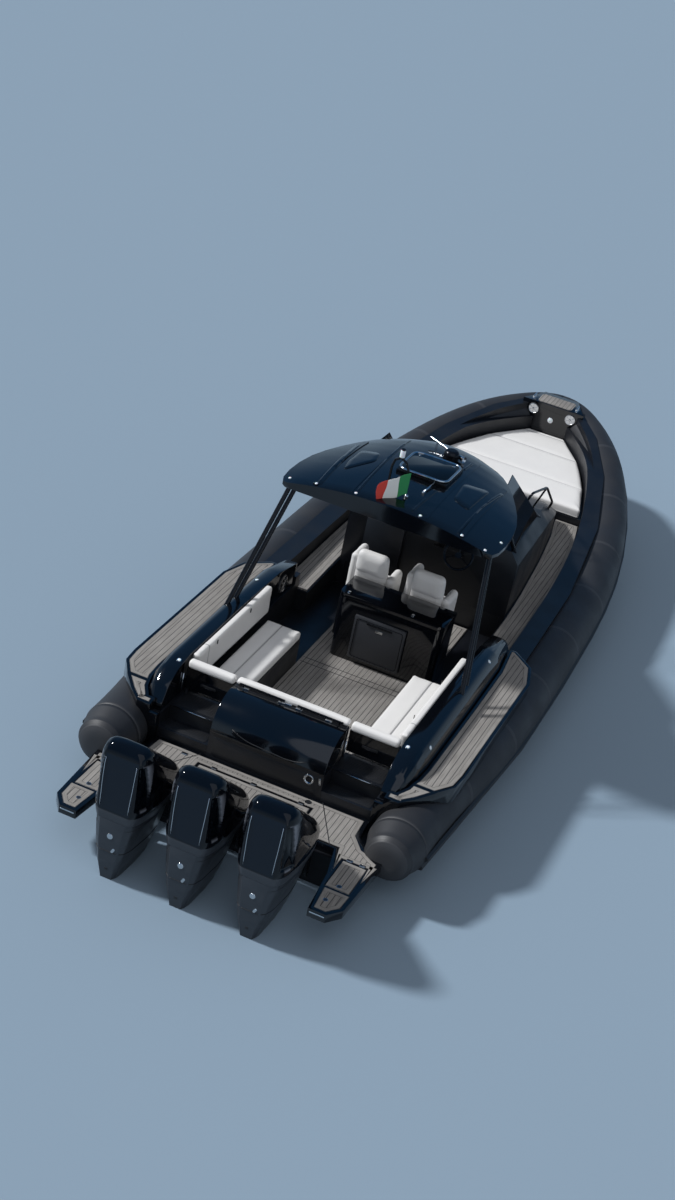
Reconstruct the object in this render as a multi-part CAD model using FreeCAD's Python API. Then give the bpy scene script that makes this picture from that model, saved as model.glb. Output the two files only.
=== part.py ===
"""A rigid-hulled inflatable boat of about 11 metres with three outboard engines, afloat.

Frame: +X to the bow, +Y to port, +Z up. The origin is on the waterline and the centreline,
200 mm behind the face of the transom. All sizes are in millimetres. Pieces that come in
pairs are made for the port side and mirrored.
"""
import FreeCAD, Part
import math
import os
from FreeCAD import Vector

HIGH = 3000.0
SEAT_GAP = 0.4
PIN_GAP = 0.8
MOVE_GAP = 6.0

# Inflatable collar: centre line of the port half from the stern to the bow, and its radius.
# columns: x, y, z, radius
TUBE_LINE = (
    (600, 1530, 480, 300),
    (2500, 1665, 480, 300),
    (5000, 1685, 490, 300),
    (7000, 1590, 570, 297),
    (8500, 1310, 750, 285),
    (9600, 880, 955, 268),
    (10230, 440, 1060, 250),
    (10520, 0, 1090, 240),
)
WIDE = 1.3 * max(row[1] for row in TUBE_LINE)
TUBE_SAG = 10.0
FINE_SAG = 1.5
TUBE_CONE = 190.0
TUBE_CONE_SHARE = 0.82
TUBE_DOME = 125.0
TUBE_CAP_R = 70.0
STRAKE_WIDE = 62.0
STRAKE_FLAT = 26.0
STRAKE_PROUD = 26.0
STRAKE_ANGLES = (-4.0, -27.0)
# The mouldings are cut back to the collar over this arc, in degrees: 0 outward and 90 up.
CUT_ARC = (50, 260)
CUT_STEP = 14

# Moulded hull. columns: x, keel z, chine y, chine z
TRANSOM_X = 200.0
HULL_LINE = (
    (TRANSOM_X, -480, 1230, -60),
    (3500, -520, 1300, -55),
    (6000, -510, 1270, 20),
    (7700, -410, 1040, 190),
    (8900, -150, 700, 430),
    (9700, 220, 350, 640),
    (10330, 640, 70, 900),
)
CHINE_FLAT = 90.0
CHINE_DROP = 12.0
SHEER_IN = 90.0
SHEER_ABOVE = 15.0
RAIL_ABOVE = 230.0
LINER = 24.0

# Decks
PLATFORM_TOP = 450.0
PLATFORM_THICK = 90.0
PLATFORM_END = -720.0
PLATFORM_SIDE = 1470.0
PLATFORM_RIM = 42.0
HATCH_RIM = 22.0
WELL_SIDE = 1130.0
WELL_FRONT = 240.0
LID_THICK = 25.0
SOLE_TOP = 350.0
TEAK = 14.0
COCKPIT_SIDE = 1160.0
HELM_SIDE = 1040.0
HELM_START = 4300.0
WALK_START_TOP = 610.0
WALK_END_TOP = 750.0
FOREDECK_START = 8000.0
FOREDECK_FRONT = 10030.0
FOREDECK_TOP = 830.0
SUNPAD_TOP = 965.0
LOCKER_TOP = 1352.0
LOCKER_FRONT = 10440.0
# columns: distance forward of the foredeck's end, half width
LOCKER_LINE = ((0, 430), (180, 330), (LOCKER_FRONT - FOREDECK_FRONT, 240))
# Under the collar's middle the locker ends short of the tube's underside.
LOCKER_TUCK = 10340.0
SHOULDER_START = 8900.0
SHOULDER_BOTTOM = 1125.0
SHOULDER_WIDER = 84.0
BOW_SPEAKER = (262.0, 1242.0, 74.0)
SIDE_SPEAKER = (3800.0, 880.0, 110.0)
SPEAKER_THICK = 14.0

# Hatches in the platform. columns: x aft, x forward, y inner, y outer
HATCH = (345.0, 680.0, -600.0, 600.0)
LADDER_LID = (-330.0, 120.0, WELL_SIDE + 45, PLATFORM_SIDE - 45)

# Stern unit, steps and gates
UNIT_AFT = 860.0
UNIT_FRONT = 1350.0
UNIT_HALF = 615.0
UNIT_WALL = 35.0
UNIT_SHELL = 28.0
UNIT_BASE_TOP = 735.0
UNIT_TOP = 1050.0
UNIT_BACK = 62.0
STEP_LOW = 560.0
STEP_HIGH = 715.0
STEP_DEPTH = 200.0
GATE_THICK = 55.0
GATE_BOTTOM = 775.0
GATE_TOP = 1020.0
GATE_END_GAP = 13.0
GATE_HINGE_IN = 25.0
BOLSTER_HIGH = 100.0
BOLSTER_DEEP = 110.0
BOLSTER_AFT = 35.0
STERN_RAIL = (1301.0, 1088.0, 10.0)
STERN_RAIL_SPAN = (70.0, 560.0)

# Coamings, side steps and sofas
COAMING_IN = 1180.0
COAMING_AFT = 900.0
COAMING_FRONT = 4180.0
SIDE_STEP_TOP = 870.0
SIDE_STEP_OUT = 150.0
SIDE_STEP_RIM = 32.0
SIDE_STEP_AFT = 785.0
SIDE_STEP_AFT_TOP = 805.0
SIDE_STEP_GAP = (1058.0, 1094.0)
SIDE_STEP_IN = 1255.0
SOFA_FRONT = 3220.0
SOFA_IN = 655.0
SOFA_BASE_TOP = 655.0
CUSHION = 100.0
BACK_THICK = 85.0
BACK_TOP = 1120.0

# Galley and helm seats
BAR_PORT = 450.0
BAR_STARBOARD = -750.0
BAR_TOP = 1100.0
BAR_WALL = 30.0
BAR_SINK = 120.0
BAR_LID = 50.0
BAR_CORNER = 70.0
BAR_DEEP = 440.0
FRIDGE_PORT = 225.0
FRIDGE_STARBOARD = -375.0
FRIDGE_BOTTOM = 420.0
FRIDGE_TOP = 950.0
FRIDGE_THICK = 40.0
HELM_SEATS = (320.0, -350.0)
HELM_SEAT_HALF = 270.0
HELM_SEAT_BASE_TOP = 860.0
HELM_SEAT_BASE = 470.0
HELM_SEAT_LONG = 570.0
HELM_SEAT_AFT = 30.0
HELM_ROOM = 570.0
HEADREST_TOP = 590.0
HEADREST_HALF = 150.0

# Console with the cabin. columns: x, half width, side top z, roof half width, roof z
CONSOLE_LINE = (
    (5250, 1035, 1330, 930, 1470),
    (5850, 1020, 1320, 910, 1465),
    (6800, 955, 1210, 830, 1340),
    (7500, 880, 1030, 730, 1130),
    (7900, 800, 900, 620, 960),
)
CONSOLE_WALL = 40.0
CABIN_INSET = 25.0
COCKPIT_FRONT = CONSOLE_LINE[0][0]
BAR_FRONT = COCKPIT_FRONT - HELM_ROOM - HELM_SEAT_LONG - HELM_SEAT_AFT
BAR_AFT = BAR_FRONT - BAR_DEEP
BINNACLE = (5250.0, 5640.0, -800.0, 60.0, 1600.0)
DOOR_IN = 330.0
DOOR_OUT = 800.0
DOOR_BOTTOM = 420.0
DOOR_TOP = 1290.0
DOOR_THICK = 35.0
WHEEL_AT = (5085.0, -380.0, 1290.0)
WHEEL_LEAN = 25.0
WHEEL_R = 165.0
WHEEL_RIM = 15.0
WHEEL_BACK = 32.0

# Windscreen corners: foot and head of the front and aft posts. columns: x, y, z
SCREEN_FRONT = ((6600, 840, 1360), (5130, 470, 2356))
SCREEN_AFT = ((5330, 935, 1455), (4600, 800, 2356))
SCREEN_POST_R = 24.0
GLASS = 8.0

# Hardtop. columns: x, half width, edge z, crown above the edge
ROOF_LINE = (
    (3128, 1110, 2362, 128),
    (3160, 1175, 2347, 160),
    (3260, 1212, 2345, 172),
    (3450, 1228, 2350, 181),
    (3700, 1218, 2353, 186),
    (3950, 1180, 2355, 185),
    (4180, 1110, 2358, 179),
    (4400, 1020, 2360, 170),
    (4630, 911, 2361, 157),
    (4850, 785, 2360, 140),
    (4980, 690, 2358, 123),
    (5080, 590, 2355, 105),
    (5160, 475, 2353, 86),
    (5230, 320, 2350, 58),
)
ROOF_EDGE = 62.0
ROOF_TUCK = 34.0
# Raised strips along the hardtop, each side. columns: y, half width, height, x aft, x forward
ROOF_STRIPS = (
    (820, 27, 11, 3165, 4620),
    (420, 8, 5, 3165, 4930),
)
ROOF_HATCH = (3910.0, 4420.0, -330.0, 180.0)
ROOF_HATCH_RIM = 30.0
ROOF_HATCH_THICK = 30.0
ROOF_FRAME_TALL = 30.0
# Roof fittings. Hoop of the lamp, across the hardtop, with columns y, z. Dome: x, y and radius.
HOOP_X = 3400.0
HOOP_LINE = ((-92, 2480), (-60, 2870), (-22, 2952), (45, 2990), (104, 2950), (125, 2870), (125, 2480))
HOOP_R = 13.0
HOOP_LAMP = (40.0, 24.0, 100.0)
DOME = (4700.0, -130.0, 88.0)
DOME_TALL = 118.0
# Pillars each side: head, foot. columns: x, y, z
PILLARS = (
    ((3308, 1114, 2385), (2600, 1345, 1060)),
    ((3458, 1084, 2385), (2780, 1330, 1060)),
)
PILLAR_R = 25.0

# Towing eyes: radius and thickness of the plates, and the stern and bow places
EYE_R = 11.0
EYE_THICK = 14.0
STERN_EYE = (165.0, 1060.0, 200.0)
BOW_EYE = (10085.0, 0.0, 440.0)

# Outboard engines
ENGINE_Y = (720.0, 0.0, -720.0)
SWIVEL_X = -60.0
SWIVEL_R = 60.0
TILT_X = 110.0
TILT_Z = 560.0
COWL_SPLIT = 665.0
PLATE_Z = -330.0
PROP_Z = -530.0
PROP_R = 178.0
HUB_R = 62.0
HUB_FRONT = -566.0
HUB_LONG = 150.0
BLADE_X = -640.0
SHAFT_R = 15.0
TILT_PIN_R = 20.0
POST_BOTTOM = 90.0
# Upper cowl. columns: z, front x, rear x, half width
UPPER_COWL = (
    (COWL_SPLIT, 5, -925, 262),
    (760, 22, -941, 280),
    (900, 30, -945, 286),
    (1060, 20, -925, 283),
    (1210, -12, -893, 266),
    (1330, -62, -852, 236),
    (1400, -120, -815, 204),
    (1440, -190, -775, 165),
)
COWL_PANEL = (905.0, 1345.0, 0.47)
COWL_PANEL_DEEP = 7.0
COWL_SCOOP = (930.0, 1310.0, 0.53, 0.64)
COWL_SCOOP_DEEP = 26.0
LOWER_COWL = (
    (PLATE_Z + 12, -200, -790, 40),
    (-60, -185, -880, 90),
    (200, -170, -925, 165),
    (430, -150, -935, 215),
    (COWL_SPLIT - 65, -140, -930, 245),
)
# Propeller blade. columns: share of the tip radius, half chord, pitch in degrees, half thickness
BLADE_LINE = (
    (0.25, 58, 46, 7.0),
    (0.42, 78, 38, 5.5),
    (0.62, 90, 30, 4.5),
    (0.82, 78, 25, 3.0),
    (0.98, 38, 22, 1.5),
)
COWL_PAN = (
    (COWL_SPLIT - 65, -20, -930, 245),
    (COWL_SPLIT, 5, -925, 258),
)


def v(x, y, z):
    return Vector(x, y, z)


def box(x0, x1, y0, y1, z0, z1):
    """A box between two corners, in any order."""
    low = v(min(x0, x1), min(y0, y1), min(z0, z1))
    return Part.makeBox(abs(x1 - x0), abs(y1 - y0), abs(z1 - z0), low)


def face(points):
    return Part.Face(Part.makePolygon(list(points) + [points[0]]))


def plan(outline, z0, z1):
    """A prism from an outline of (x, y) between two heights."""
    return face([v(x, y, z0) for x, y in outline]).extrude(v(0, 0, z1 - z0))


def profile(outline, y0, y1):
    """A prism from an outline of (x, z) between two y values."""
    return face([v(x, y0, z) for x, z in outline]).extrude(v(0, y1 - y0, 0))


def rings(sections):
    """A solid through closed outlines of 3-D points, straight between them."""
    wires = [Part.makePolygon(list(s) + [s[0]]) for s in sections]
    return Part.makeLoft(wires, True, True)


def grown(outline, distance):
    """The face inside an outline of (x, y), grown outwards or, below zero, shrunk; corners stay sharp."""
    return face([v(x, y, 0) for x, y in outline]).makeOffset2D(distance, 2)


def layer(shape, z0, z1):
    """A flat face at z = 0 as a slab between two heights."""
    lifted = shape.copy()
    lifted.translate(v(0, 0, z0))
    return lifted.extrude(v(0, 0, z1 - z0))


def rounded_box(x0, x1, y0, y1, z0, z1, r, at):
    """A box whose upright edges at the x values named in at are rounded."""
    solid = box(x0, x1, y0, y1, z0, z1)
    uprights = [e for e in solid.Edges if abs(e.Vertexes[0].Z - e.Vertexes[1].Z) > 1
                and min(abs(e.Vertexes[0].X - x) for x in at) < 1]
    return solid.makeFillet(r, uprights)


def mirrored(shape):
    return shape.mirror(v(0, 0, 0), v(0, 1, 0))


def both(shape):
    """The port shape and its mirror image, which don't touch."""
    return Part.Compound([shape, mirrored(shape)])


def both_sides(outline):
    """An outline of the port side closed by its mirror image."""
    return list(outline) + [(x, -y) for x, y in reversed(outline)]


def rod(a, b, r):
    a, b = v(*a), v(*b)
    return Part.makeCylinder(r, (b - a).Length, a, b - a)


def between(table, x, column):
    """A value read off a table at x, straight between its rows."""
    if x <= table[0][0]:
        return float(table[0][column])
    for a, b in zip(table, table[1:]):
        if x <= b[0]:
            return a[column] + (x - a[0]) / (b[0] - a[0]) * (b[column] - a[column])
    return float(table[-1][column])


def save(name, shape):
    shape.exportStep("parts/%s.step" % name)


# Collar
def tube_stations(sag):
    """Centre, tangent and radius along the collar's centre line, as close as a sag allows."""
    line = Part.BSplineCurve()
    line.interpolate(Points=[v(*row[:3]) for row in TUBE_LINE],
                     InitialTangent=v(1, 0, 0), FinalTangent=v(0, -1, 0))
    stations = []
    for p in line.discretize(QuasiDeflection=sag):
        tangent = line.tangent(line.parameter(p))[0]
        stations.append((p, tangent, between(TUBE_LINE, p.x, 3)))
    return stations


FINE = tube_stations(FINE_SAG)
FINE_TABLE = tuple((p.x, p.y, p.z) for p, t, r in FINE)


def tube_y(x):
    return between(FINE_TABLE, x, 1)


def tube_z(x):
    return between(FINE_TABLE, x, 2)


def tube_r(x):
    return between(TUBE_LINE, x, 3)


def side_and_up(tangent):
    side = v(0, 0, 1).cross(tangent)
    side.normalize()
    return side, tangent.cross(side)


def tube_body():
    wires = []
    for p, tangent, r in tube_stations(TUBE_SAG):
        side, up = side_and_up(tangent)
        ring = Part.Wire(Part.makeCircle(r))
        ring.Placement = FreeCAD.Placement(p, FreeCAD.Rotation(side, up, tangent, "ZXY"))
        wires.append(ring)
    return Part.makeLoft(wires, True, True)


def tube_end(extra=0.0):
    """The stern end of the collar: a short cone closed by a dome."""
    x, y, z, r = TUBE_LINE[0]
    r += extra
    neck = r * TUBE_CONE_SHARE
    tip = x - TUBE_CONE - TUBE_DOME - extra
    shoulder = v(x - TUBE_CONE - 0.68 * TUBE_DOME, y, z + 0.7 * neck)
    outline = [
        Part.LineSegment(v(x, y, z), v(x, y, z + r)),
        Part.LineSegment(v(x, y, z + r), v(x - TUBE_CONE, y, z + neck)),
        Part.Arc(v(x - TUBE_CONE, y, z + neck), shoulder, v(tip, y, z + TUBE_CAP_R)),
        Part.LineSegment(v(tip, y, z + TUBE_CAP_R), v(tip, y, z)),
        Part.LineSegment(v(tip, y, z), v(x, y, z)),
    ]
    half = Part.Face(Part.Wire([edge.toShape() for edge in outline]))
    end = half.revolve(v(x, y, z), v(1, 0, 0), 360)
    if end.Volume < 0:
        end.reverse()
    return end


def tube_half():
    return Part.Compound([tube_body(), tube_end()])


def tube_cutter(gap):
    """What the mouldings are cut back by: the collar and a gap, in flat facets that lie round it."""
    grow = 1 / math.cos(math.radians(CUT_STEP / 2))
    first, last = CUT_ARC
    sections = []
    for p, tangent, r in tube_stations(TUBE_SAG):
        side, up = side_and_up(tangent)
        ring = []
        for angle in range(first, last + 1, CUT_STEP):
            a = math.radians(angle)
            ring.append(p + (side * math.cos(a) + up * math.sin(a)) * (r + gap) * grow)
        sections.append(ring)
    return rings(sections)


def collar_space(gap):
    """The cutters of both halves of the collar, as a list."""
    port = [tube_cutter(gap), tube_end(gap)]
    return port + [mirrored(shape) for shape in port]


def strakes():
    """Two rubbing strips glued along the outside of the port tube."""
    solids = []
    for angle in STRAKE_ANGLES:
        a = math.radians(angle)
        sections = []
        for p, tangent, r in tube_stations(TUBE_SAG):
            side, up = side_and_up(tangent)
            out = side * math.cos(a) + up * math.sin(a)
            along = up * math.cos(a) - side * math.sin(a)
            foot = p + out * (r - 4)
            top = p + out * (r + STRAKE_PROUD)
            sections.append([foot - along * (STRAKE_WIDE / 2), top - along * (STRAKE_FLAT / 2),
                             top + along * (STRAKE_FLAT / 2), foot + along * (STRAKE_WIDE / 2)])
        solids.append(rings(sections))
    return solids


# Hull
def hull_solid():
    sections = []
    for x, keel, chine_y, chine_z in HULL_LINE:
        side = max(tube_y(x) - SHEER_IN, chine_y + 20)
        top = tube_z(x) + tube_r(x) + SHEER_ABOVE
        under = tube_z(x) - 0.9 * tube_r(x)
        flat = min(CHINE_FLAT, 0.5 * chine_y)
        half = [(chine_y - flat, chine_z - CHINE_DROP), (chine_y, chine_z), (side, under), (side, top)]
        points = [v(x, 0, keel)] + [v(x, y, z) for y, z in half]
        sections.append(points + [v(x, -y, z) for y, z in reversed(half)])
    return rings(sections)


def inside_line(x0, x1, inset):
    """Outline in plan that runs inside the port half of the collar, at an inset from it."""
    points = []
    for p, tangent, r in FINE:
        side, up = side_and_up(tangent)
        q = p - side * (r + inset)
        points.append((q.x, q.y))
    inner = [q for q in points if x0 + 20 < q[0] < x1 - 20 and q[1] > 0]
    return [(x0, between(points, x0, 1))] + inner + [(x1, between(points, x1, 1))]


def walk_top(x):
    share = (x - HELM_START) / (FOREDECK_START - HELM_START)
    return WALK_START_TOP + share * (WALK_END_TOP - WALK_START_TOP)


def above_walk(drop):
    a, b = HELM_START, FOREDECK_START
    return profile([(a, walk_top(a) - drop), (b, walk_top(b) - drop), (b, HIGH), (a, HIGH)], -WIDE, WIDE)


RAIL_TOP = tube_z(UNIT_AFT) + RAIL_ABOVE


def console_half(x):
    return between(CONSOLE_LINE, x, 1)


def bow_locker_outline():
    return both_sides([(FOREDECK_FRONT + ahead, half) for ahead, half in LOCKER_LINE])


def hull(collar):
    platform = box(0, UNIT_AFT, -WIDE, WIDE, PLATFORM_TOP - PLATFORM_THICK, HIGH)
    cockpit = box(UNIT_AFT, HELM_START, -COCKPIT_SIDE, COCKPIT_SIDE, SOLE_TOP - TEAK, HIGH)
    aft_rail = box(UNIT_AFT, COAMING_FRONT, -WIDE, WIDE, RAIL_TOP, HIGH)
    helm = box(HELM_START, COCKPIT_FRONT, -HELM_SIDE, HELM_SIDE, SOLE_TOP - TEAK, HIGH)
    walk = plan(both_sides(inside_line(HELM_START, FOREDECK_START, LINER)), 0, HIGH)
    walk = walk.common(above_walk(TEAK))
    fore = plan(both_sides(inside_line(FOREDECK_START, FOREDECK_FRONT, LINER)), FOREDECK_TOP, HIGH)
    bow = plan(bow_locker_outline(), FOREDECK_TOP, HIGH)
    shoulder_line = inside_line(SHOULDER_START, FOREDECK_FRONT, LINER - SHOULDER_WIDER)
    shoulder = plan(both_sides(shoulder_line), SHOULDER_BOTTOM, HIGH)
    rows = [(x, y - CONSOLE_WALL - CABIN_INSET) for x, y, *rest in CONSOLE_LINE]
    cabin = plan(both_sides(rows), SOLE_TOP, HIGH)
    rooms = [platform, cockpit, aft_rail, helm, walk, fore, bow, shoulder, cabin]
    return hull_solid().cut(rooms + collar)


def platform_outline():
    return [(UNIT_AFT, 1150), (560, 1170), (400, 1290), (320, PLATFORM_SIDE + 40),
            (PLATFORM_END + 150, PLATFORM_SIDE), (PLATFORM_END, PLATFORM_SIDE - 110),
            (PLATFORM_END, WELL_SIDE + 52), (-150, WELL_SIDE), (WELL_FRONT, WELL_SIDE - 90)]


def recesses(rim):
    """The pockets of the three lids in the platform, grown by a rim."""
    pockets = []
    for place, side in ((HATCH, 1), (LADDER_LID, 1), (LADDER_LID, -1)):
        x0, x1, y0, y1 = place
        pockets.append(box(x0 - rim, x1 + rim, side * (y0 - rim), side * (y1 + rim),
                           PLATFORM_TOP - LID_THICK, HIGH))
    return pockets


def platform_panel(extra, z0):
    """The laid panel of the platform from z0 up; extra makes it larger all round, for its pocket."""
    inside = layer(grown(both_sides(platform_outline()), extra - PLATFORM_RIM), z0, PLATFORM_TOP)
    return inside.cut(recesses(HATCH_RIM - extra) + collar_space(PLATFORM_RIM - extra))


def swim_platform(collar):
    slab = plan(both_sides(platform_outline()), PLATFORM_TOP - PLATFORM_THICK, PLATFORM_TOP)
    return slab.cut(collar + recesses(0) + [platform_panel(1, PLATFORM_TOP - TEAK)])


def lid(place):
    x0, x1, y0, y1 = place
    return box(x0 + MOVE_GAP, x1 - MOVE_GAP, y0 + MOVE_GAP, y1 - MOVE_GAP,
               PLATFORM_TOP - LID_THICK + SEAT_GAP, PLATFORM_TOP)


def teak_decks():
    """Laid panels: the cockpit sole, the side walks and the tops of the side steps."""
    sole = box(UNIT_FRONT + 80, COCKPIT_FRONT - 20, -SOFA_IN, SOFA_IN, SOLE_TOP - TEAK, SOLE_TOP)
    outer = inside_line(HELM_START + 20, FOREDECK_START - 20, LINER + 12)
    beside = [row[0] for row in reversed(CONSOLE_LINE)] + [HELM_START + 20]
    inner = [(FOREDECK_START - 20, CONSOLE_LINE[-1][1] + 12)]
    inner += [(x, max(console_half(x) + 12, HELM_SIDE + 15 if x <= COCKPIT_FRONT else 0)) for x in beside]
    walk = plan(outer + inner, 0, HIGH).common(above_walk(TEAK)).cut(above_walk(0))
    steps = step_panels(0, SEAT_GAP)
    port = [walk] + steps.Solids
    platform = platform_panel(0, PLATFORM_TOP - TEAK + SEAT_GAP)
    return Part.Compound([sole] + platform.Solids + port + [mirrored(s) for s in port])


# Stern unit
def unit_curve(inset):
    """Side outline of the stern unit's curved lid, inset from its outer face."""
    front = UNIT_FRONT - UNIT_BACK - MOVE_GAP
    foot = v(UNIT_AFT - 10 + inset, 0, UNIT_BASE_TOP + SEAT_GAP)
    head = v(front, 0, UNIT_TOP - inset)
    middle = v(UNIT_AFT + 95 + 0.8 * inset, 0, UNIT_TOP - 95 - 0.7 * inset)
    return [foot, middle, head]


def stern_unit():
    outer = profile([(UNIT_AFT, PLATFORM_TOP), (UNIT_AFT, UNIT_BASE_TOP),
                     (UNIT_FRONT - UNIT_BACK, UNIT_BASE_TOP), (UNIT_FRONT - UNIT_BACK, UNIT_TOP),
                     (UNIT_FRONT, UNIT_TOP), (UNIT_FRONT, SOLE_TOP - TEAK),
                     (UNIT_AFT + 1, SOLE_TOP - TEAK), (UNIT_AFT + 1, PLATFORM_TOP)],
                    -UNIT_HALF, UNIT_HALF)
    room = box(UNIT_AFT + UNIT_WALL, UNIT_FRONT - UNIT_BACK - UNIT_WALL, UNIT_WALL - UNIT_HALF,
               UNIT_HALF - UNIT_WALL, SOLE_TOP + UNIT_WALL, UNIT_BASE_TOP + 1)
    return outer.cut(room)


def curved_plate(a, b, c, c2, b2, a2, y0, y1):
    edges = [Part.Arc(a, b, c), Part.LineSegment(c, c2), Part.Arc(c2, b2, a2), Part.LineSegment(a2, a)]
    wire = Part.Wire([e.toShape() for e in edges])
    wire.translate(v(0, y0, 0))
    return Part.Face(wire).extrude(v(0, y1 - y0, 0))


def stern_lid():
    a, b, c = unit_curve(0)
    a2, b2, c2 = unit_curve(UNIT_SHELL)
    shell = curved_plate(a, b, c, c2, b2, a2, -UNIT_HALF, UNIT_HALF)
    cheeks = []
    corner = v(c.x, 0, a.z)
    edges = [Part.Arc(a, b, c), Part.LineSegment(c, corner), Part.LineSegment(corner, a)]
    cheek = Part.Face(Part.Wire([e.toShape() for e in edges]))
    for y in (-UNIT_HALF, UNIT_HALF - UNIT_SHELL):
        one = cheek.copy()
        one.translate(v(0, y, 0))
        cheeks.append(one.extrude(v(0, UNIT_SHELL, 0)))
    return shell.fuse(cheeks).removeSplitter()


def boarding_steps():
    y0, y1 = UNIT_HALF + 1, COCKPIT_SIDE
    low = box(UNIT_AFT + 1, UNIT_FRONT + 60, y0, y1, SOLE_TOP - TEAK, STEP_LOW)
    high = box(UNIT_AFT + STEP_DEPTH, UNIT_FRONT + 60, y0, y1, STEP_LOW, STEP_HIGH)
    hinge_y = gate_span()[1] - GATE_HINGE_IN
    pivot = rod((UNIT_FRONT, hinge_y, STEP_HIGH - 5), (UNIT_FRONT, hinge_y, GATE_BOTTOM - SEAT_GAP), 18)
    return low.fuse([high, pivot]).removeSplitter()


def stern_rails():
    """Two handrails on the wall behind the stern unit's lid, each on two feet."""
    x, z, r = STERN_RAIL
    y0, y1 = STERN_RAIL_SPAN
    feet = [rod((x, y, UNIT_TOP + SEAT_GAP), (x, y, z), 0.8 * r) for y in (y0 + 40, y1 - 40)]
    return both(rod((x, y0, z), (x, y1, z), r).fuse(feet))


def gate_span():
    return UNIT_HALF + GATE_END_GAP, COAMING_IN - 30


def gate():
    y0, y1 = gate_span()
    return box(UNIT_FRONT, UNIT_FRONT + GATE_THICK, y0, y1, GATE_BOTTOM, GATE_TOP)


def bolster(y0, y1, z0):
    """A padded rail: a box with a half-round top."""
    x0 = UNIT_FRONT - BOLSTER_AFT
    x1 = x0 + BOLSTER_DEEP
    top = GATE_TOP + BOLSTER_HIGH
    r = 0.5 * BOLSTER_DEEP
    a, b, c = v(x0, y0, top - 0.6 * r), v(x0 + r, y0, top), v(x1, y0, top - 0.6 * r)
    d, e = v(x1, y0, z0), v(x0, y0, z0)
    edges = [Part.Arc(a, b, c), Part.LineSegment(c, d), Part.LineSegment(d, e), Part.LineSegment(e, a)]
    return Part.Face(Part.Wire([edge.toShape() for edge in edges])).extrude(v(0, y1 - y0, 0))


# Coamings and side steps
# columns: x, outer y at the foot, inset of the top, top z
COAMING_LINE = (
    (COAMING_AFT, 1330, 40, 790),
    (1010, 1400, 60, 960),
    (1180, 1440, 80, 1060),
    (1400, 1455, 95, 1110),
    (2700, 1460, 95, 1115),
    (3650, 1455, 90, 1085),
    (COAMING_FRONT, 1400, 60, 980),
)


def coaming():
    sections = []
    for x, foot, inset, top in COAMING_LINE:
        high = top - RAIL_TOP
        # columns: share of the inset, share of the height
        outer = ((0.0, 0.0), (0.05, 0.4), (0.3, 0.66), (0.75, 0.87), (1.3, 0.97), (1.8, 1.0))
        ring = [v(x, foot - a * inset, RAIL_TOP + b * high) for a, b in outer]
        sections.append([v(x, COAMING_IN, RAIL_TOP)] + ring + [v(x, COAMING_IN, top)])
    return rings(sections)


def step_outline():
    """The side step in plan: inside along the coaming's foot, outside over the collar."""
    out = tube_y(2500) + SIDE_STEP_OUT
    inner = [(x, foot + 1) for x, foot, *rest in reversed(COAMING_LINE)]
    aft = [(COAMING_AFT - 5, COAMING_LINE[0][1] + 1), (COAMING_AFT - 5, SIDE_STEP_IN), (SIDE_STEP_AFT, SIDE_STEP_IN)]
    outer = [(SIDE_STEP_AFT, 1400), (905, 1530), (1060, 1660), (1280, out - 20), (1500, out),
             (3600, out), (3950, out - 90), (COAMING_FRONT, 1480)]
    return inner + aft + outer


def above_step(drop):
    """Everything above the side step's top, which falls away towards its aft end."""
    top = SIDE_STEP_TOP + TEAK - drop
    low = SIDE_STEP_AFT_TOP - drop
    a, b = SIDE_STEP_AFT - 50, SIDE_STEP_GAP[1]
    return profile([(a, low), (b, top), (COAMING_FRONT + 50, top), (COAMING_FRONT + 50, HIGH), (a, HIGH)], 0, WIDE)


def step_panels(extra, lift):
    """The two laid panels of the port side step; extra makes them larger, for their pockets."""
    inside = layer(grown(step_outline(), extra - SIDE_STEP_RIM), 0, HIGH)
    gap = box(SIDE_STEP_GAP[0] + extra, SIDE_STEP_GAP[1] - extra, 0, WIDE, 0, HIGH)
    return inside.common(above_step(TEAK - lift)).cut([above_step(0), gap])


def side_step(collar):
    slab = plan(step_outline(), RAIL_TOP + SEAT_GAP, HIGH).cut(above_step(0))
    quarter = box(SIDE_STEP_AFT, UNIT_AFT - 1, COCKPIT_SIDE + 6, SIDE_STEP_IN + 190,
                  PLATFORM_TOP - PLATFORM_THICK + SEAT_GAP, RAIL_TOP + 20)
    return biggest(slab.fuse(quarter).cut(collar + step_panels(1, 0).Solids))


# Sofas
def sofa_base():
    return box(UNIT_FRONT + 62, SOFA_FRONT, SOFA_IN, COCKPIT_SIDE - 1, SOLE_TOP, SOFA_BASE_TOP)


def sofa_cushion():
    return box(UNIT_FRONT + 130, SOFA_FRONT, SOFA_IN - 8, COAMING_IN - BACK_THICK - 20,
               SOFA_BASE_TOP + SEAT_GAP, SOFA_BASE_TOP + CUSHION)


def sofa_back():
    return box(UNIT_FRONT + 122, SOFA_FRONT + 80, COAMING_IN - BACK_THICK, COAMING_IN - SEAT_GAP,
               SOFA_BASE_TOP + CUSHION + 20, BACK_TOP)


# Galley and helm seats
def galley():
    outer = rounded_box(BAR_AFT, BAR_FRONT, BAR_STARBOARD, BAR_PORT, SOLE_TOP, BAR_TOP, BAR_CORNER,
                        (BAR_AFT,))
    sink = box(BAR_AFT + BAR_WALL, BAR_FRONT - BAR_WALL, BAR_STARBOARD + BAR_WALL,
               BAR_PORT - BAR_WALL, BAR_TOP - BAR_SINK, BAR_TOP + 1)
    fridge = box(BAR_AFT - 1, BAR_FRONT - BAR_WALL, FRIDGE_STARBOARD + BAR_WALL,
                 FRIDGE_PORT - BAR_WALL, FRIDGE_BOTTOM + BAR_WALL, FRIDGE_TOP - BAR_WALL)
    return outer.cut([sink, fridge])


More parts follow.
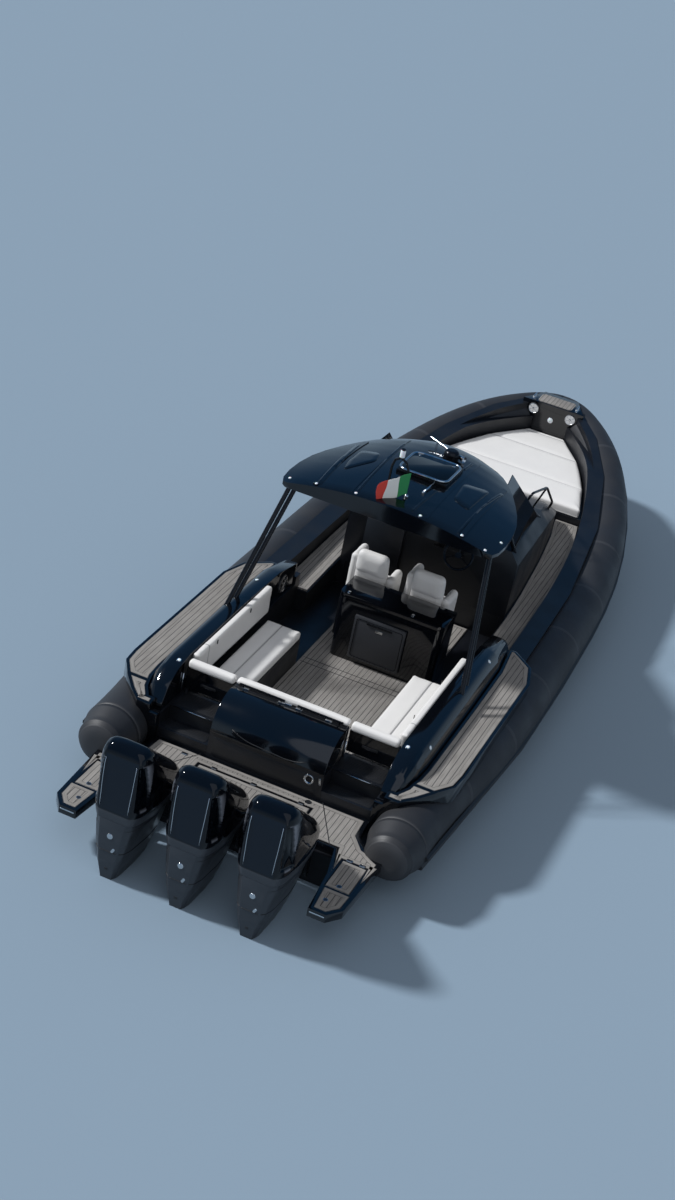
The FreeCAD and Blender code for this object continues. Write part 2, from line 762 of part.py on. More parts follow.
def galley_lid():
    return rounded_box(BAR_AFT - 20, BAR_FRONT - 10, BAR_STARBOARD - 10, BAR_PORT + 10,
                       BAR_TOP + SEAT_GAP, BAR_TOP + BAR_LID, BAR_CORNER, (BAR_AFT - 20,))


def fridge_door():
    return box(BAR_AFT - FRIDGE_THICK, BAR_AFT - SEAT_GAP, FRIDGE_STARBOARD, FRIDGE_PORT,
               FRIDGE_BOTTOM, FRIDGE_TOP)


def helm_seat_base():
    y1 = max(HELM_SEATS) + HELM_SEAT_HALF
    y0 = min(HELM_SEATS) - HELM_SEAT_HALF
    x = BAR_FRONT + 1
    return box(x, x + HELM_SEAT_BASE, y0, y1, SOLE_TOP, HELM_SEAT_BASE_TOP)


def helm_seats():
    """Two bucket seats: cushion, side wings, leaning back and a narrower headrest, each one solid."""
    solids = []
    x = BAR_FRONT + HELM_SEAT_AFT
    z = HELM_SEAT_BASE_TOP + SEAT_GAP
    long, half = HELM_SEAT_LONG, HELM_SEAT_HALF
    cushion = [(x, z), (x + long - 30, z), (x + long, z + 60), (x + long - 25, z + 125), (x, z + 110)]
    back = [(x, z), (x + 160, z), (x + 130, z + 400), (x + 30, z + 400), (x - 5, z + 260)]
    wing = [(x, z), (x + 0.72 * long, z), (x + 0.7 * long, z + 190), (x + 190, z + 230),
            (x + 160, z + 370), (x + 40, z + 385)]
    rest = [(x + 20, z + 360), (x + 130, z + 360), (x + 150, z + HEADREST_TOP - 60),
            (x + 120, z + HEADREST_TOP), (x + 50, z + HEADREST_TOP), (x + 15, z + HEADREST_TOP - 60)]
    for y in HELM_SEATS:
        wings = [profile(wing, y + a, y + b) for a, b in ((-half, 70 - half), (half - 70, half))]
        middle = [profile(cushion, y - half + 50, y + half - 50), profile(back, y - half + 50, y + half - 50)]
        head = profile(rest, y - HEADREST_HALF, y + HEADREST_HALF)
        solids.append(wings[0].fuse([wings[1], head] + middle).removeSplitter())
    return Part.Compound(solids)


# Console
def console_form(inset, drop):
    sections = []
    for x, half, side_z, roof_half, roof_z in CONSOLE_LINE:
        z0 = walk_top(x) - TEAK + SEAT_GAP - drop
        port = [(half - inset, z0), (half - inset, side_z - 0.5 * inset), (roof_half - 0.5 * inset, roof_z - inset)]
        sections.append([v(x, y, z) for y, z in port] + [v(x, -y, z) for y, z in reversed(port)])
    return rings(sections)


def console():
    x0, x1, y0, y1, z1 = BINNACLE
    roof = CONSOLE_LINE[0][4]
    binnacle = profile([(x0, roof - 60), (x0 + 60, z1), (x0 + 220, z1), (x1, roof - 60)], y0, y1)
    foot_half = console_half(COCKPIT_FRONT + CONSOLE_WALL) - CONSOLE_WALL - CABIN_INSET - SEAT_GAP
    foot = box(COCKPIT_FRONT + SEAT_GAP, COCKPIT_FRONT + CONSOLE_WALL, -foot_half, foot_half,
               SOLE_TOP + SEAT_GAP, walk_top(COCKPIT_FRONT))
    outer = console_form(0, 0).fuse([binnacle, foot])
    inner = console_form(CONSOLE_WALL, 400)
    keep_aft = box(COCKPIT_FRONT - 1, COCKPIT_FRONT + CONSOLE_WALL, -WIDE, WIDE, 0, HIGH)
    keep_front = box(CONSOLE_LINE[-1][0] - CONSOLE_WALL, HIGH * 3, -WIDE, WIDE, 0, HIGH)
    doorway = box(COCKPIT_FRONT - 1, COCKPIT_FRONT + 2 * CONSOLE_WALL, DOOR_IN + 30, DOOR_OUT - 30,
                  DOOR_BOTTOM + 30, DOOR_TOP - 30)
    shell = outer.cut(inner.cut([keep_aft, keep_front])).cut(doorway)
    column = rod(column_point(-200), column_point(-WHEEL_BACK), 26)
    return shell.fuse(column.common(box(0, COCKPIT_FRONT + 10, -WIDE, WIDE, 0, HIGH))).removeSplitter()


def column_point(distance):
    """A point on the steering wheel's axis; positive is away from the console."""
    a = math.radians(WHEEL_LEAN)
    x, y, z = WHEEL_AT
    return (x - distance * math.cos(a), y, z + distance * math.sin(a))


def cabin_door():
    x = COCKPIT_FRONT - SEAT_GAP
    return box(x - DOOR_THICK, x, DOOR_IN, DOOR_OUT, DOOR_BOTTOM, DOOR_TOP)


def steering_wheel():
    a = math.radians(WHEEL_LEAN)
    axis = v(-math.cos(a), 0, math.sin(a))
    centre = v(*WHEEL_AT)
    corners = [math.radians(22.5 + 45 * k) for k in range(8)]
    bead = face([v(WHEEL_R + WHEEL_RIM * math.cos(c), 0, WHEEL_RIM * math.sin(c)) for c in corners])
    rim = bead.revolve(v(0, 0, 0), v(0, 0, 1), 360)
    rim.Placement = FreeCAD.Placement(centre, FreeCAD.Rotation(v(0, 0, 1), axis))
    hub = rod(column_point(SEAT_GAP - WHEEL_BACK), column_point(14), 36)
    up = v(math.sin(a), 0, math.cos(a))
    across = axis.cross(up)
    spokes = []
    for turn in (90, 210, 330):
        t = math.radians(turn)
        tip = centre + (across * math.cos(t) + up * math.sin(t)) * WHEEL_R
        spokes.append(rod(centre, tip, 9))
    return rim.fuse([hub] + spokes)


# Windscreen and hardtop
def plate_between(a, b, c, d, thick):
    """A flat pane through the corners a, b, c; d is brought into their plane."""
    a, b, c, d = v(*a), v(*b), v(*c), v(*d)
    n = (b - a).cross(c - a)
    n.normalize()
    d = d - n * (d - a).dot(n)
    return face([a, b, c, d]).extrude(n * thick)


def flip(p):
    return (p[0], -p[1], p[2])


def windscreen(frame, console_solid, roof):
    front_foot, front_head = SCREEN_FRONT
    aft_foot, aft_head = SCREEN_AFT
    front = plate_between(flip(front_foot), front_foot, front_head, flip(front_head), GLASS)
    side = plate_between(front_foot, aft_foot, aft_head, front_head, GLASS)
    trims = frame + [console_solid, roof]
    panes = [biggest(front.cut(trims)), biggest(side.cut(trims))]
    return Part.Compound([panes[0], panes[1], mirrored(panes[1])])


def windscreen_frame(console_solid, roof):
    bars = []
    for foot, head in (SCREEN_FRONT, SCREEN_AFT):
        past = (v(*foot) - v(*head)) * 0.04
        bar = rod(v(*foot) + past, v(*head) - past, SCREEN_POST_R)
        bars.append(biggest(bar.cut([console_solid, roof])))
    return bars


def biggest(shape):
    """The largest solid of a shape that a cut left in several."""
    return max(shape.Solids, key=lambda solid: solid.Volume)


def roof_ring(x, half, z, crown):
    """A section: a flat underside, a lip that leans out, an upright edge and a crowned top."""
    a, b, c = v(x, half - ROOF_TUCK, z), v(x, half, z + 0.4 * ROOF_EDGE), v(x, half, z + ROOF_EDGE)
    d, e, f = (v(x, -p.y, p.z) for p in (c, b, a))
    sides = [Part.LineSegment(*pair).toShape() for pair in ((a, b), (b, c), (d, e), (e, f), (f, a))]
    crest = Part.Arc(c, v(x, 0, z + ROOF_EDGE + crown), d).toShape()
    return Part.Wire(sides[:2] + [crest] + sides[2:])


def hardtop_solid():
    return Part.makeLoft([roof_ring(*row) for row in ROOF_LINE], True, True)


def roof_top(x, y=0.0):
    """Height of the hardtop's crowned top at a place."""
    half, z, crown = (between(ROOF_LINE, x, column) for column in (1, 2, 3))
    r = (half ** 2 + crown ** 2) / (2 * crown)
    return z + ROOF_EDGE + crown - r + math.sqrt(r ** 2 - y ** 2)


def hatch_level(x):
    """Height of the hatch frame's top, a plane just above the crown at the hatch's two ends."""
    a, b = ROOF_HATCH[0] - ROOF_HATCH_RIM, ROOF_HATCH[1] + ROOF_HATCH_RIM
    share = (x - a) / (b - a)
    return roof_top(a) + share * (roof_top(b) - roof_top(a)) + ROOF_FRAME_TALL


def hatch_slab(rim, low, high):
    """A slab over the hatchway between two heights above the frame's top plane."""
    x0, x1, y0, y1 = ROOF_HATCH
    a, b = x0 - rim, x1 + rim
    side = [(a, hatch_level(a) + low), (b, hatch_level(b) + low),
            (b, hatch_level(b) + high), (a, hatch_level(a) + high)]
    return profile(side, y0 - rim, y1 + rim)


def skylight_frame(roof):
    """A frame on the hardtop round the hatchway, which carries the hatch."""
    x0, x1, y0, y1 = ROOF_HATCH
    ring = hatch_slab(ROOF_HATCH_RIM, -4 * ROOF_FRAME_TALL, 0)
    return biggest(ring.cut([box(x0, x1, y0, y1, 0, HIGH), roof]))


def roof_hatch():
    return hatch_slab(ROOF_HATCH_RIM, SEAT_GAP, ROOF_HATCH_THICK)


def roof_strips():
    """Raised strips that follow the hardtop's crown, port and starboard."""
    strips = []
    for y, half, high, x0, x1 in ROOF_STRIPS:
        for side in (1, -1):
            sections = []
            for x in [x0] + [row[0] for row in ROOF_LINE if x0 + 20 < row[0] < x1 - 20] + [x1]:
                a, b = side * y - half, side * y + half
                foot = 0.5 * ROOF_EDGE
                sections.append([v(x, a, roof_top(x, a) - foot), v(x, b, roof_top(x, b) - foot),
                                 v(x, b, roof_top(x, b) + high), v(x, a, roof_top(x, a) + high)])
            strips.append(rings(sections))
    return strips


def roof_fittings(roof):
    """A hoop that carries a lamp, and the aerial's dome, standing on the hardtop."""
    points = [(HOOP_X, y, z) for y, z in HOOP_LINE]
    bars = [rod(a, b, HOOP_R) for a, b in zip(points, points[1:])]
    bends = [Part.makeSphere(HOOP_R, v(*p)) for p in points[1:-1]]
    lamp_y, lamp_r, tall = HOOP_LAMP
    crest = max(z for y, z in HOOP_LINE)
    lamp = rod((HOOP_X, lamp_y, crest), (HOOP_X, lamp_y, crest + tall), lamp_r)
    hoop = biggest(bars[0].fuse(bars[1:] + bends + [lamp]).cut(roof))
    x, y, r = DOME
    z = roof_top(x, y) - 20
    drum = rod((x, y, z), (x, y, z + DOME_TALL), r)
    top = drum.makeFillet(0.55 * r, [drum.Edges[k] for k in range(3) if drum.Edges[k].BoundBox.ZMin > z + 1])
    return Part.Compound([hoop, biggest(top.cut(roof))])


def save_pair(name, shape):
    save(name + "_port", shape)
    save(name + "_starboard", mirrored(shape))


# Bow
def sunpad():
    edge = inside_line(FOREDECK_START + 5, FOREDECK_FRONT - 6, LINER + 8)
    return plan(both_sides(edge), FOREDECK_TOP + SEAT_GAP, SUNPAD_TOP)


def bow_locker(collar):
    tuck = box(LOCKER_TUCK, LOCKER_FRONT + 10, -WIDE, WIDE, 0, tube_z(LOCKER_FRONT) - 60)
    return biggest(plan(bow_locker_outline(), FOREDECK_TOP + SEAT_GAP, LOCKER_TOP).cut(collar + [tuck]))


def speakers():
    """Round loudspeakers: two on the bow locker, two in the cockpit sides."""
    y, z, r = BOW_SPEAKER
    bow = rod((FOREDECK_FRONT - SPEAKER_THICK, y, z), (FOREDECK_FRONT - SEAT_GAP, y, z), r)
    x, z, r = SIDE_SPEAKER
    cockpit = rod((x, COAMING_IN - SPEAKER_THICK, z), (x, COAMING_IN - SEAT_GAP, z), r)
    return Part.Compound([bow, cockpit, mirrored(bow), mirrored(cockpit)])


def eye_plate(x, y, z, back):
    """A towing eye: a plate with a hole across it, growing from a pad at back."""
    plate = box(min(x - 28, back), max(x + 28, back), y - EYE_THICK / 2, y + EYE_THICK / 2, z - 28, z + 28)
    return plate.cut(rod((x, y - 50, z), (x, y + 50, z), EYE_R))


def eyes(hull_shape):
    x, y, z = STERN_EYE
    stern = eye_plate(x, y, z, TRANSOM_X)
    x, y, z = BOW_EYE
    bow = biggest(eye_plate(x, y, z, x - 120).cut(hull_shape))
    return Part.Compound([stern, mirrored(stern), bow])


# Outboard engines, made on the centreline and moved to each place
def engine_rings(rows, rear_flat):
    sections = []
    for z, front, rear, half in rows:
        length = front - rear
        port = [(front, 0.42 * half), (front - 0.05 * length, 0.72 * half),
                (front - 0.17 * length, 0.95 * half), (front - 0.45 * length, half),
                (rear + 0.18 * length, 0.88 * half), (rear + 0.06 * length, 0.74 * half),
                (rear, rear_flat * half)]
        sections.append([v(x, y, z) for x, y in both_sides(port)])
    return rings(sections)


def rear_strip(z0, z1, depth, y0, y1):
    """What a shallow cut takes off the cowl's rear face, down its slope."""
    levels = [z0] + [row[0] for row in UPPER_COWL if z0 + 5 < row[0] < z1 - 5] + [z1]
    rear = [(between(UPPER_COWL, z, 2), z) for z in levels]
    inner = [(x + depth, z) for x, z in rear]
    outer = [(x - 60, z) for x, z in reversed(rear)]
    return profile(inner + outer, y0, y1)


def upper_cowl():
    """The cowl with a sunk rear panel and an air scoop down each side of it."""
    z0, z1, share = COWL_PANEL
    half = UPPER_COWL[3][3]
    cuts = [rear_strip(z0, z1, COWL_PANEL_DEEP, -share * half, share * half)]
    z0, z1, inner, outer = COWL_SCOOP
    for side in (1, -1):
        cuts.append(rear_strip(z0, z1, COWL_SCOOP_DEEP, side * inner * half, side * outer * half))
    return engine_rings(UPPER_COWL, 0.52).cut(cuts)


def lower_leg():
    body = engine_rings(LOWER_COWL, 0.5)
    pan = engine_rings(COWL_PAN, 0.5)
    torpedo = Part.makeCylinder(70, 330, v(-560, 0, PROP_Z), v(1, 0, 0))
    nose = Part.makeCone(70, 12, 170, v(-230, 0, PROP_Z), v(1, 0, 0))
    strut = plan([(-110, 0), (-250, 38), (-500, 30), (-557, 0), (-500, -30), (-250, -38)],
                 PROP_Z, PLATE_Z)
    skeg = profile([(-180, PROP_Z - 40), (-420, PROP_Z - 270), (-520, PROP_Z - 270),
                    (-540, PROP_Z - 40)], -9, 9)
    plate = plan([(-120, 0), (-220, 95), (-560, 135), (-800, 120), (-800, -120), (-560, -135),
                  (-220, -95)], PLATE_Z - 12, PLATE_Z + 13)
    yoke = box(-230, SWIVEL_X + 50, -50, 50, POST_BOTTOM - 36, POST_BOTTOM - SEAT_GAP)
    shaft = rod((-550, 0, PROP_Z), (-706, 0, PROP_Z), SHAFT_R)
    return body.fuse([pan, torpedo, nose, strut, skeg, plate, yoke, shaft])


def blade_section(share, chord, pitch, thick):
    """Leading edge, hollow side, trailing edge and full side of a blade at one radius."""
    a = math.radians(pitch)
    points = []
    for along, through in ((-chord, 0), (0, -0.5 * thick), (chord, 0), (0, 1.5 * thick)):
        x = BLADE_X + along * math.sin(a) + through * math.cos(a)
        y = along * math.cos(a) - through * math.sin(a)
        points.append(v(x, y, PROP_Z + share * PROP_R))
    return points


def faceted(sections):
    """A solid through sections whose sides, which twist, are split into triangles."""
    faces = [face(sections[0]), face(sections[-1])]
    for low, high in zip(sections, sections[1:]):
        for k in range(len(low)):
            a, b = low[k - 1], low[k]
            c, d = high[k], high[k - 1]
            faces += [face([a, b, c]), face([a, c, d])]
    solid = Part.Solid(Part.Shell(faces))
    if solid.Volume < 0:
        solid.reverse()
    return solid


def propeller():
    hub = Part.makeCylinder(HUB_R, HUB_LONG, v(HUB_FRONT - HUB_LONG, 0, PROP_Z), v(1, 0, 0))
    blades = []
    for k in range(4):
        blade = faceted([blade_section(*row) for row in BLADE_LINE])
        blade.rotate(v(0, 0, PROP_Z), v(1, 0, 0), 90 * k)
        blades.append(blade)
    bore = rod((HUB_FRONT + 60, 0, PROP_Z), (HUB_FRONT - HUB_LONG - 60, 0, PROP_Z), SHAFT_R + PIN_GAP)
    return hub.fuse(blades).cut(bore)


def swivel_bracket():
    post = rod((SWIVEL_X, 0, POST_BOTTOM), (SWIVEL_X, 0, COWL_PAN[0][0] - SEAT_GAP), SWIVEL_R)
    arm = box(SWIVEL_X, TILT_X, -80, 80, TILT_Z - 70, TILT_Z + 28)
    knuckle = rod((TILT_X, -100, TILT_Z), (TILT_X, 100, TILT_Z), 40)
    bore = rod((TILT_X, -101, TILT_Z), (TILT_X, 101, TILT_Z), TILT_PIN_R + PIN_GAP)
    return post.fuse([arm, knuckle]).cut(bore)


def transom_bracket():
    ears = []
    for side in (1, -1):
        ear = profile([(TILT_X - 45, TILT_Z - 60), (TILT_X - 45, TILT_Z + 20), (TILT_X + 10, TILT_Z + 48),
                       (TRANSOM_X, TILT_Z + 20), (TRANSOM_X, 80), (TRANSOM_X - 45, 80)],
                      side * 106, side * 132)
        ears.append(ear)
    web = box(TRANSOM_X - 24, TRANSOM_X, -132, 132, 90, 330)
    pin = rod((TILT_X, -132, TILT_Z), (TILT_X, 132, TILT_Z), TILT_PIN_R)
    return ears[0].fuse([ears[1], web, pin]).removeSplitter()


def engines():
    names = {"swivel": swivel_bracket(), "cowl": upper_cowl(),
             "leg": lower_leg(), "propeller": propeller()}
    brackets = []
    for k, y in enumerate(ENGINE_Y):
        move = v(0, y, 0)
        bracket = transom_bracket()
        bracket.translate(move)
        brackets.append(bracket)
        for name, shape in names.items():
            copy = shape.copy()
            copy.translate(move)
            save("%s_%d" % (name, k + 1), copy)
    save("transom_brackets", Part.Compound(brackets))


def main():
    os.makedirs("parts", exist_ok=True)
    tube = tube_half()
    collar = collar_space(SEAT_GAP)
    save_pair("tube", tube)
    strips = [s.cut(tube) for s in strakes()]
    save("rub_strakes", Part.Compound(strips + [mirrored(s) for s in strips]))
    moulding = hull(collar)
    save("hull", moulding)
    save("swim_platform", swim_platform(collar))
    save("platform_hatch", lid(HATCH))
    save_pair("ladder_lid", lid(LADDER_LID))
    save("teak_decks", teak_decks())
    save("stern_unit", stern_unit())
    save("stern_lid", stern_lid())
    save("stern_rails", stern_rails())
    save("boarding_steps", both(boarding_steps()))
    y0, y1 = gate_span()
    save_pair("gate", gate())
    save_pair("gate_bolster", bolster(y0, y1, GATE_TOP))
    save("stern_bolster", bolster(-UNIT_HALF, UNIT_HALF, UNIT_TOP + SEAT_GAP))
    save("coamings", both(biggest(coaming().cut(collar))))
    save("side_steps", both(side_step(collar)))
    save("sofa_bases", both(sofa_base()))
    save("sofa_cushions", both(sofa_cushion()))
    save("sofa_backs", both(sofa_back()))
    save("galley", galley())
    save("galley_lid", galley_lid())
    save("fridge_door", fridge_door())
    save("helm_seat_base", helm_seat_base())
    save("helm_seats", helm_seats())
    cabin = console()
    save("console", cabin)
    save("cabin_door", cabin_door())
    save("steering_wheel", steering_wheel())
    roof = hardtop_solid()
    posts = windscreen_frame(cabin, roof)
    save("windscreen_frame", Part.Compound(posts + [mirrored(p) for p in posts]))
    save("windscreen", windscreen(posts + [mirrored(posts[0])], cabin, roof))
    x0, x1, hatch_y0, hatch_y1 = ROOF_HATCH
    hatchway = box(x0, x1, hatch_y0, hatch_y1, 0, HIGH)
    save("hardtop", roof.fuse(roof_strips()).cut(hatchway))
    save("skylight_frame", skylight_frame(roof))
    save("roof_hatch", roof_hatch())
    save("roof_fittings", roof_fittings(roof))
    pillars = [biggest(rod(head, foot, PILLAR_R).cut([roof, coaming()])) for head, foot in PILLARS]
    save("roof_pillars", Part.Compound(pillars + [mirrored(p) for p in pillars]))
    save("sunpad", sunpad())
    save("bow_locker", bow_locker(collar))
    save("speakers", speakers())
    save("eyes", eyes(moulding))
    engines()


main()
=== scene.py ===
"""A rigid inflatable boat with three outboard engines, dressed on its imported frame.

Metres, +X to the bow, +Y to port, +Z up, the origin on the waterline at the stern.
"""
import bmesh
import bpy
import math
import numpy as np
from mathutils import Matrix, Vector
from mathutils.bvhtree import BVHTree


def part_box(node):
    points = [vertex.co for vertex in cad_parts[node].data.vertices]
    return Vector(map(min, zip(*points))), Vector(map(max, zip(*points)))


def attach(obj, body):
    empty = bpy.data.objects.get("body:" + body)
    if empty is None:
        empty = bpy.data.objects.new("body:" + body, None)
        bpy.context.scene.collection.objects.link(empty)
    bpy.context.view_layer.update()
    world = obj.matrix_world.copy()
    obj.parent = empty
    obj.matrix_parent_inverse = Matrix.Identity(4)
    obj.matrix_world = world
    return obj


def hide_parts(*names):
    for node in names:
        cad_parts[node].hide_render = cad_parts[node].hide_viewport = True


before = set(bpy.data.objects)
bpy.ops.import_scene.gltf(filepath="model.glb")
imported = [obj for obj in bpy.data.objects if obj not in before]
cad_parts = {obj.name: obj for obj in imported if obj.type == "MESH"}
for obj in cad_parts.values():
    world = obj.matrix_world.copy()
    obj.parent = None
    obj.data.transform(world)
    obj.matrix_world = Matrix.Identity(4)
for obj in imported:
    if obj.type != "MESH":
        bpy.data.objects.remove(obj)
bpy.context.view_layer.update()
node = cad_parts

# Studio
# A plain blue-grey floor lies at the waterline, z = 0, under a soft sun from port, a wide fill
# from near behind the camera and a plain sky. The camera stands at the photograph's place.
CAMERA_AT = (-14.112, -4.916, 11.168)
CAMERA_TURN = 16.875
CAMERA_DOWN = 28.676
CAMERA_ROLL = 12.059
CAMERA_LENS = 58.43
FLOOR_HALF = 400.0
FLOOR_HEX = "#8497a8"
WORLD_HEX = "#d8dde6"
WORLD_STRENGTH = 0.5
SKY_LOW_HEX = "#8fa6bb"
SKY_HIGH_HEX = "#33628f"
SKY_STRENGTH = 0.9
# columns: name, bearing, height above the horizon, strength, angle that it fills, in degrees
LAMPS = (("key_lamp", 100.0, 42.0, 3.3, 6.0), ("fill_lamp", 215.0, 38.0, 0.45, 70.0))
UP = (0, 0, 1)


def srgb(text):
    """Linear red, green, blue, one: each channel is c/12.92 below 0.04045, else
    ((c + 0.055) / 1.055) to the power 2.4, from a hex text such as #8a8f93."""
    values = [int(text[k:k + 2], 16) / 255 for k in (1, 3, 5)]
    return [c / 12.92 if c <= 0.04045 else ((c + 0.055) / 1.055) ** 2.4 for c in values] + [1.0]


def add(tree, kind, settings=(), **inputs):
    """A node of one kind. settings are attribute and value pairs; each input takes a value,
    or a socket to link from. Underscores in an input's name stand for spaces, and i with a
    number is the input at that place."""
    made = tree.nodes.new(kind)
    for key, value in dict(settings).items():
        setattr(made, key, value)
    for key, value in inputs.items():
        name = key.replace("_", " ")
        numbered = name[0] == "i" and name[1:].isdigit()
        socket = made.inputs[int(name[1:]) if numbered else name]
        if isinstance(value, bpy.types.NodeSocket):
            tree.links.new(value, socket)
        else:
            socket.default_value = value
    return made


def blank(name):
    """A new material with only its output node, and its tree."""
    made = bpy.data.materials.new(name)
    made.use_nodes = True
    made.node_tree.nodes.clear()
    out = made.node_tree.nodes.new("ShaderNodeOutputMaterial")
    return made, made.node_tree, out


def camera_axes(turn, down, roll):
    """Columns right, up and back of a camera that looks at a bearing from +X towards +Y,
    below the horizon, then rolls about its line of sight."""
    a, e, q = math.radians(turn), math.radians(down), math.radians(roll)
    ahead = Vector((math.cos(e) * math.cos(a), math.cos(e) * math.sin(a), -math.sin(e)))
    right = ahead.cross(Vector(UP)).normalized()
    up = right.cross(ahead)
    rolled = right * math.cos(q) + up * math.sin(q)
    return Matrix((rolled, up * math.cos(q) - right * math.sin(q), -ahead)).transposed()


camera = bpy.data.objects.new("camera", bpy.data.cameras.new("camera"))
bpy.context.collection.objects.link(camera)
camera.data.sensor_width = 36.0
camera.data.lens = CAMERA_LENS
camera.data.clip_end = 2000.0
camera.matrix_world = Matrix.Translation(CAMERA_AT) @ camera_axes(
    CAMERA_TURN, CAMERA_DOWN, CAMERA_ROLL).to_4x4()
bpy.context.scene.camera = camera
bpy.context.scene.view_settings.view_transform = "Standard"

floor_mesh = bpy.data.meshes.new("floor")
corners = [(x * FLOOR_HALF, y * FLOOR_HALF, 0.0) for x, y in ((-1, -1), (1, -1), (1, 1), (-1, 1))]
floor_mesh.from_pydata(corners, [], [(0, 1, 2, 3)])
floor = bpy.data.objects.new("floor", floor_mesh)
bpy.context.collection.objects.link(floor)
paint, tree, out = blank("matt_studio_floor")
flat = add(tree, "ShaderNodeBsdfDiffuse", Color=srgb(FLOOR_HEX))
tree.links.new(flat.outputs[0], out.inputs[0])
floor_mesh.materials.append(paint)

world = bpy.data.worlds.new("studio")
bpy.context.scene.world = world
world.use_nodes = True
tree = world.node_tree
tree.nodes.clear()
out = tree.nodes.new("ShaderNodeOutputWorld")
rays = tree.nodes.new("ShaderNodeLightPath")
light = add(tree, "ShaderNodeBackground", Color=srgb(WORLD_HEX), Strength=WORLD_STRENGTH)
ways = tree.nodes.new("ShaderNodeTexCoord")
toward = add(tree, "ShaderNodeSeparateXYZ", Vector=ways.outputs["Generated"])
height = add(tree, "ShaderNodeMapRange", {"interpolation_type": "SMOOTHSTEP"}, Value=toward.outputs[2],
             From_Min=0.03, From_Max=0.42)
sky = add(tree, "ShaderNodeMix", {"data_type": "RGBA"}, i0=height.outputs[0], i6=srgb(SKY_LOW_HEX),
          i7=srgb(SKY_HIGH_HEX))
seen = add(tree, "ShaderNodeBackground", Color=sky.outputs[2], Strength=SKY_STRENGTH)
shows = add(tree, "ShaderNodeMath", {"operation": "MAXIMUM"},
            i0=rays.outputs["Is Camera Ray"], i1=rays.outputs["Is Transmission Ray"])
shows = add(tree, "ShaderNodeMath", {"operation": "MAXIMUM"},
            i0=shows.outputs[0], i1=rays.outputs["Is Glossy Ray"])
mixed = add(tree, "ShaderNodeMixShader", Fac=shows.outputs[0], i1=light.outputs[0], i2=seen.outputs[0])
tree.links.new(mixed.outputs[0], out.inputs[0])


def sun_lamp(name, bearing, height, strength, softness):
    """A distant lamp at a bearing from +X towards +Y and a height above the horizon, in
    degrees; softness is the angle it fills in the sky."""
    data = bpy.data.lights.new(name, "SUN")
    data.energy = strength
    data.angle = math.radians(softness)
    made = bpy.data.objects.new(name, data)
    bpy.context.collection.objects.link(made)
    a, e = math.radians(bearing), math.radians(height)
    toward = Vector((math.cos(e) * math.cos(a), math.cos(e) * math.sin(a), math.sin(e)))
    made.rotation_euler = toward.to_track_quat("Z", "Y").to_euler()


for lamp in LAMPS:
    sun_lamp(*lamp)

# Moulded hull and deck
# The hull, coamings, console and hardtop are glass-fibre mouldings with a black gelcoat. On the
# coamings and the hardtop it is polished, clear and deep, with a faint long ripple.
GELCOAT_HEX = "#06080c"
RIPPLE_M = 0.22
EDGE_ANGLE = 32.0
WELD_M = 0.00005


def finish_ripple(tree, scale_m, distance, strength):
    """The normal of a low smooth ripple, on Object coordinates: noise once per scale_m."""
    place = tree.nodes.new("ShaderNodeTexCoord")
    waves = add(tree, "ShaderNodeTexNoise", Vector=place.outputs["Object"], Scale=1 / scale_m,
                Detail=1.0, Roughness=0.4)
    return add(tree, "ShaderNodeBump", Height=waves.outputs[0], Distance=distance,
               Strength=strength).outputs[0]


def speckle(tree, dark, light, scale_m, detail=3.0):
    """A colour that drifts between two close tones, on Object coordinates."""
    place = tree.nodes.new("ShaderNodeTexCoord")
    cloud = add(tree, "ShaderNodeTexNoise", Vector=place.outputs["Object"], Scale=1 / scale_m,
                Detail=detail)
    return add(tree, "ShaderNodeMix", {"data_type": "RGBA"}, i0=cloud.outputs[0],
               i6=srgb(dark), i7=srgb(light)).outputs[2]


def drift(tree, low, high, scale_m):
    """A number that drifts between two values, as handling and salt leave a gloss uneven."""
    place = tree.nodes.new("ShaderNodeTexCoord")
    cloud = add(tree, "ShaderNodeTexNoise", Vector=place.outputs["Object"], Scale=1 / scale_m,
                Detail=4.0)
    return add(tree, "ShaderNodeMapRange", Value=cloud.outputs[0], From_Min=0.35, From_Max=0.65,
               To_Min=low, To_Max=high).outputs[0]


# Polished black gelcoat: a dark base under a clear hard face, so it mirrors the sky softly.
gelcoat, tree, out = blank("polished_black_gelcoat")
shader = add(tree, "ShaderNodeBsdfPrincipled", Base_Color=speckle(tree, GELCOAT_HEX, "#090c12", 0.6),
             Roughness=drift(tree, 0.07, 0.13, 0.5), IOR=1.5, Coat_Weight=0.3, Coat_Roughness=0.04,
             Normal=finish_ripple(tree, RIPPLE_M, 0.0006, 0.3))
tree.links.new(shader.outputs[0], out.inputs[0])

# Satin black moulding: the hull, the console and the inner faces, which shine less.
satin, tree, out = blank("satin_black_moulding")
shader = add(tree, "ShaderNodeBsdfPrincipled", Base_Color=speckle(tree, "#101217", "#15181e", 0.3),
             Roughness=drift(tree, 0.32, 0.45, 0.3), IOR=1.5,
             Normal=finish_ripple(tree, 0.006, 0.0002, 0.4))
tree.links.new(shader.outputs[0], out.inputs[0])

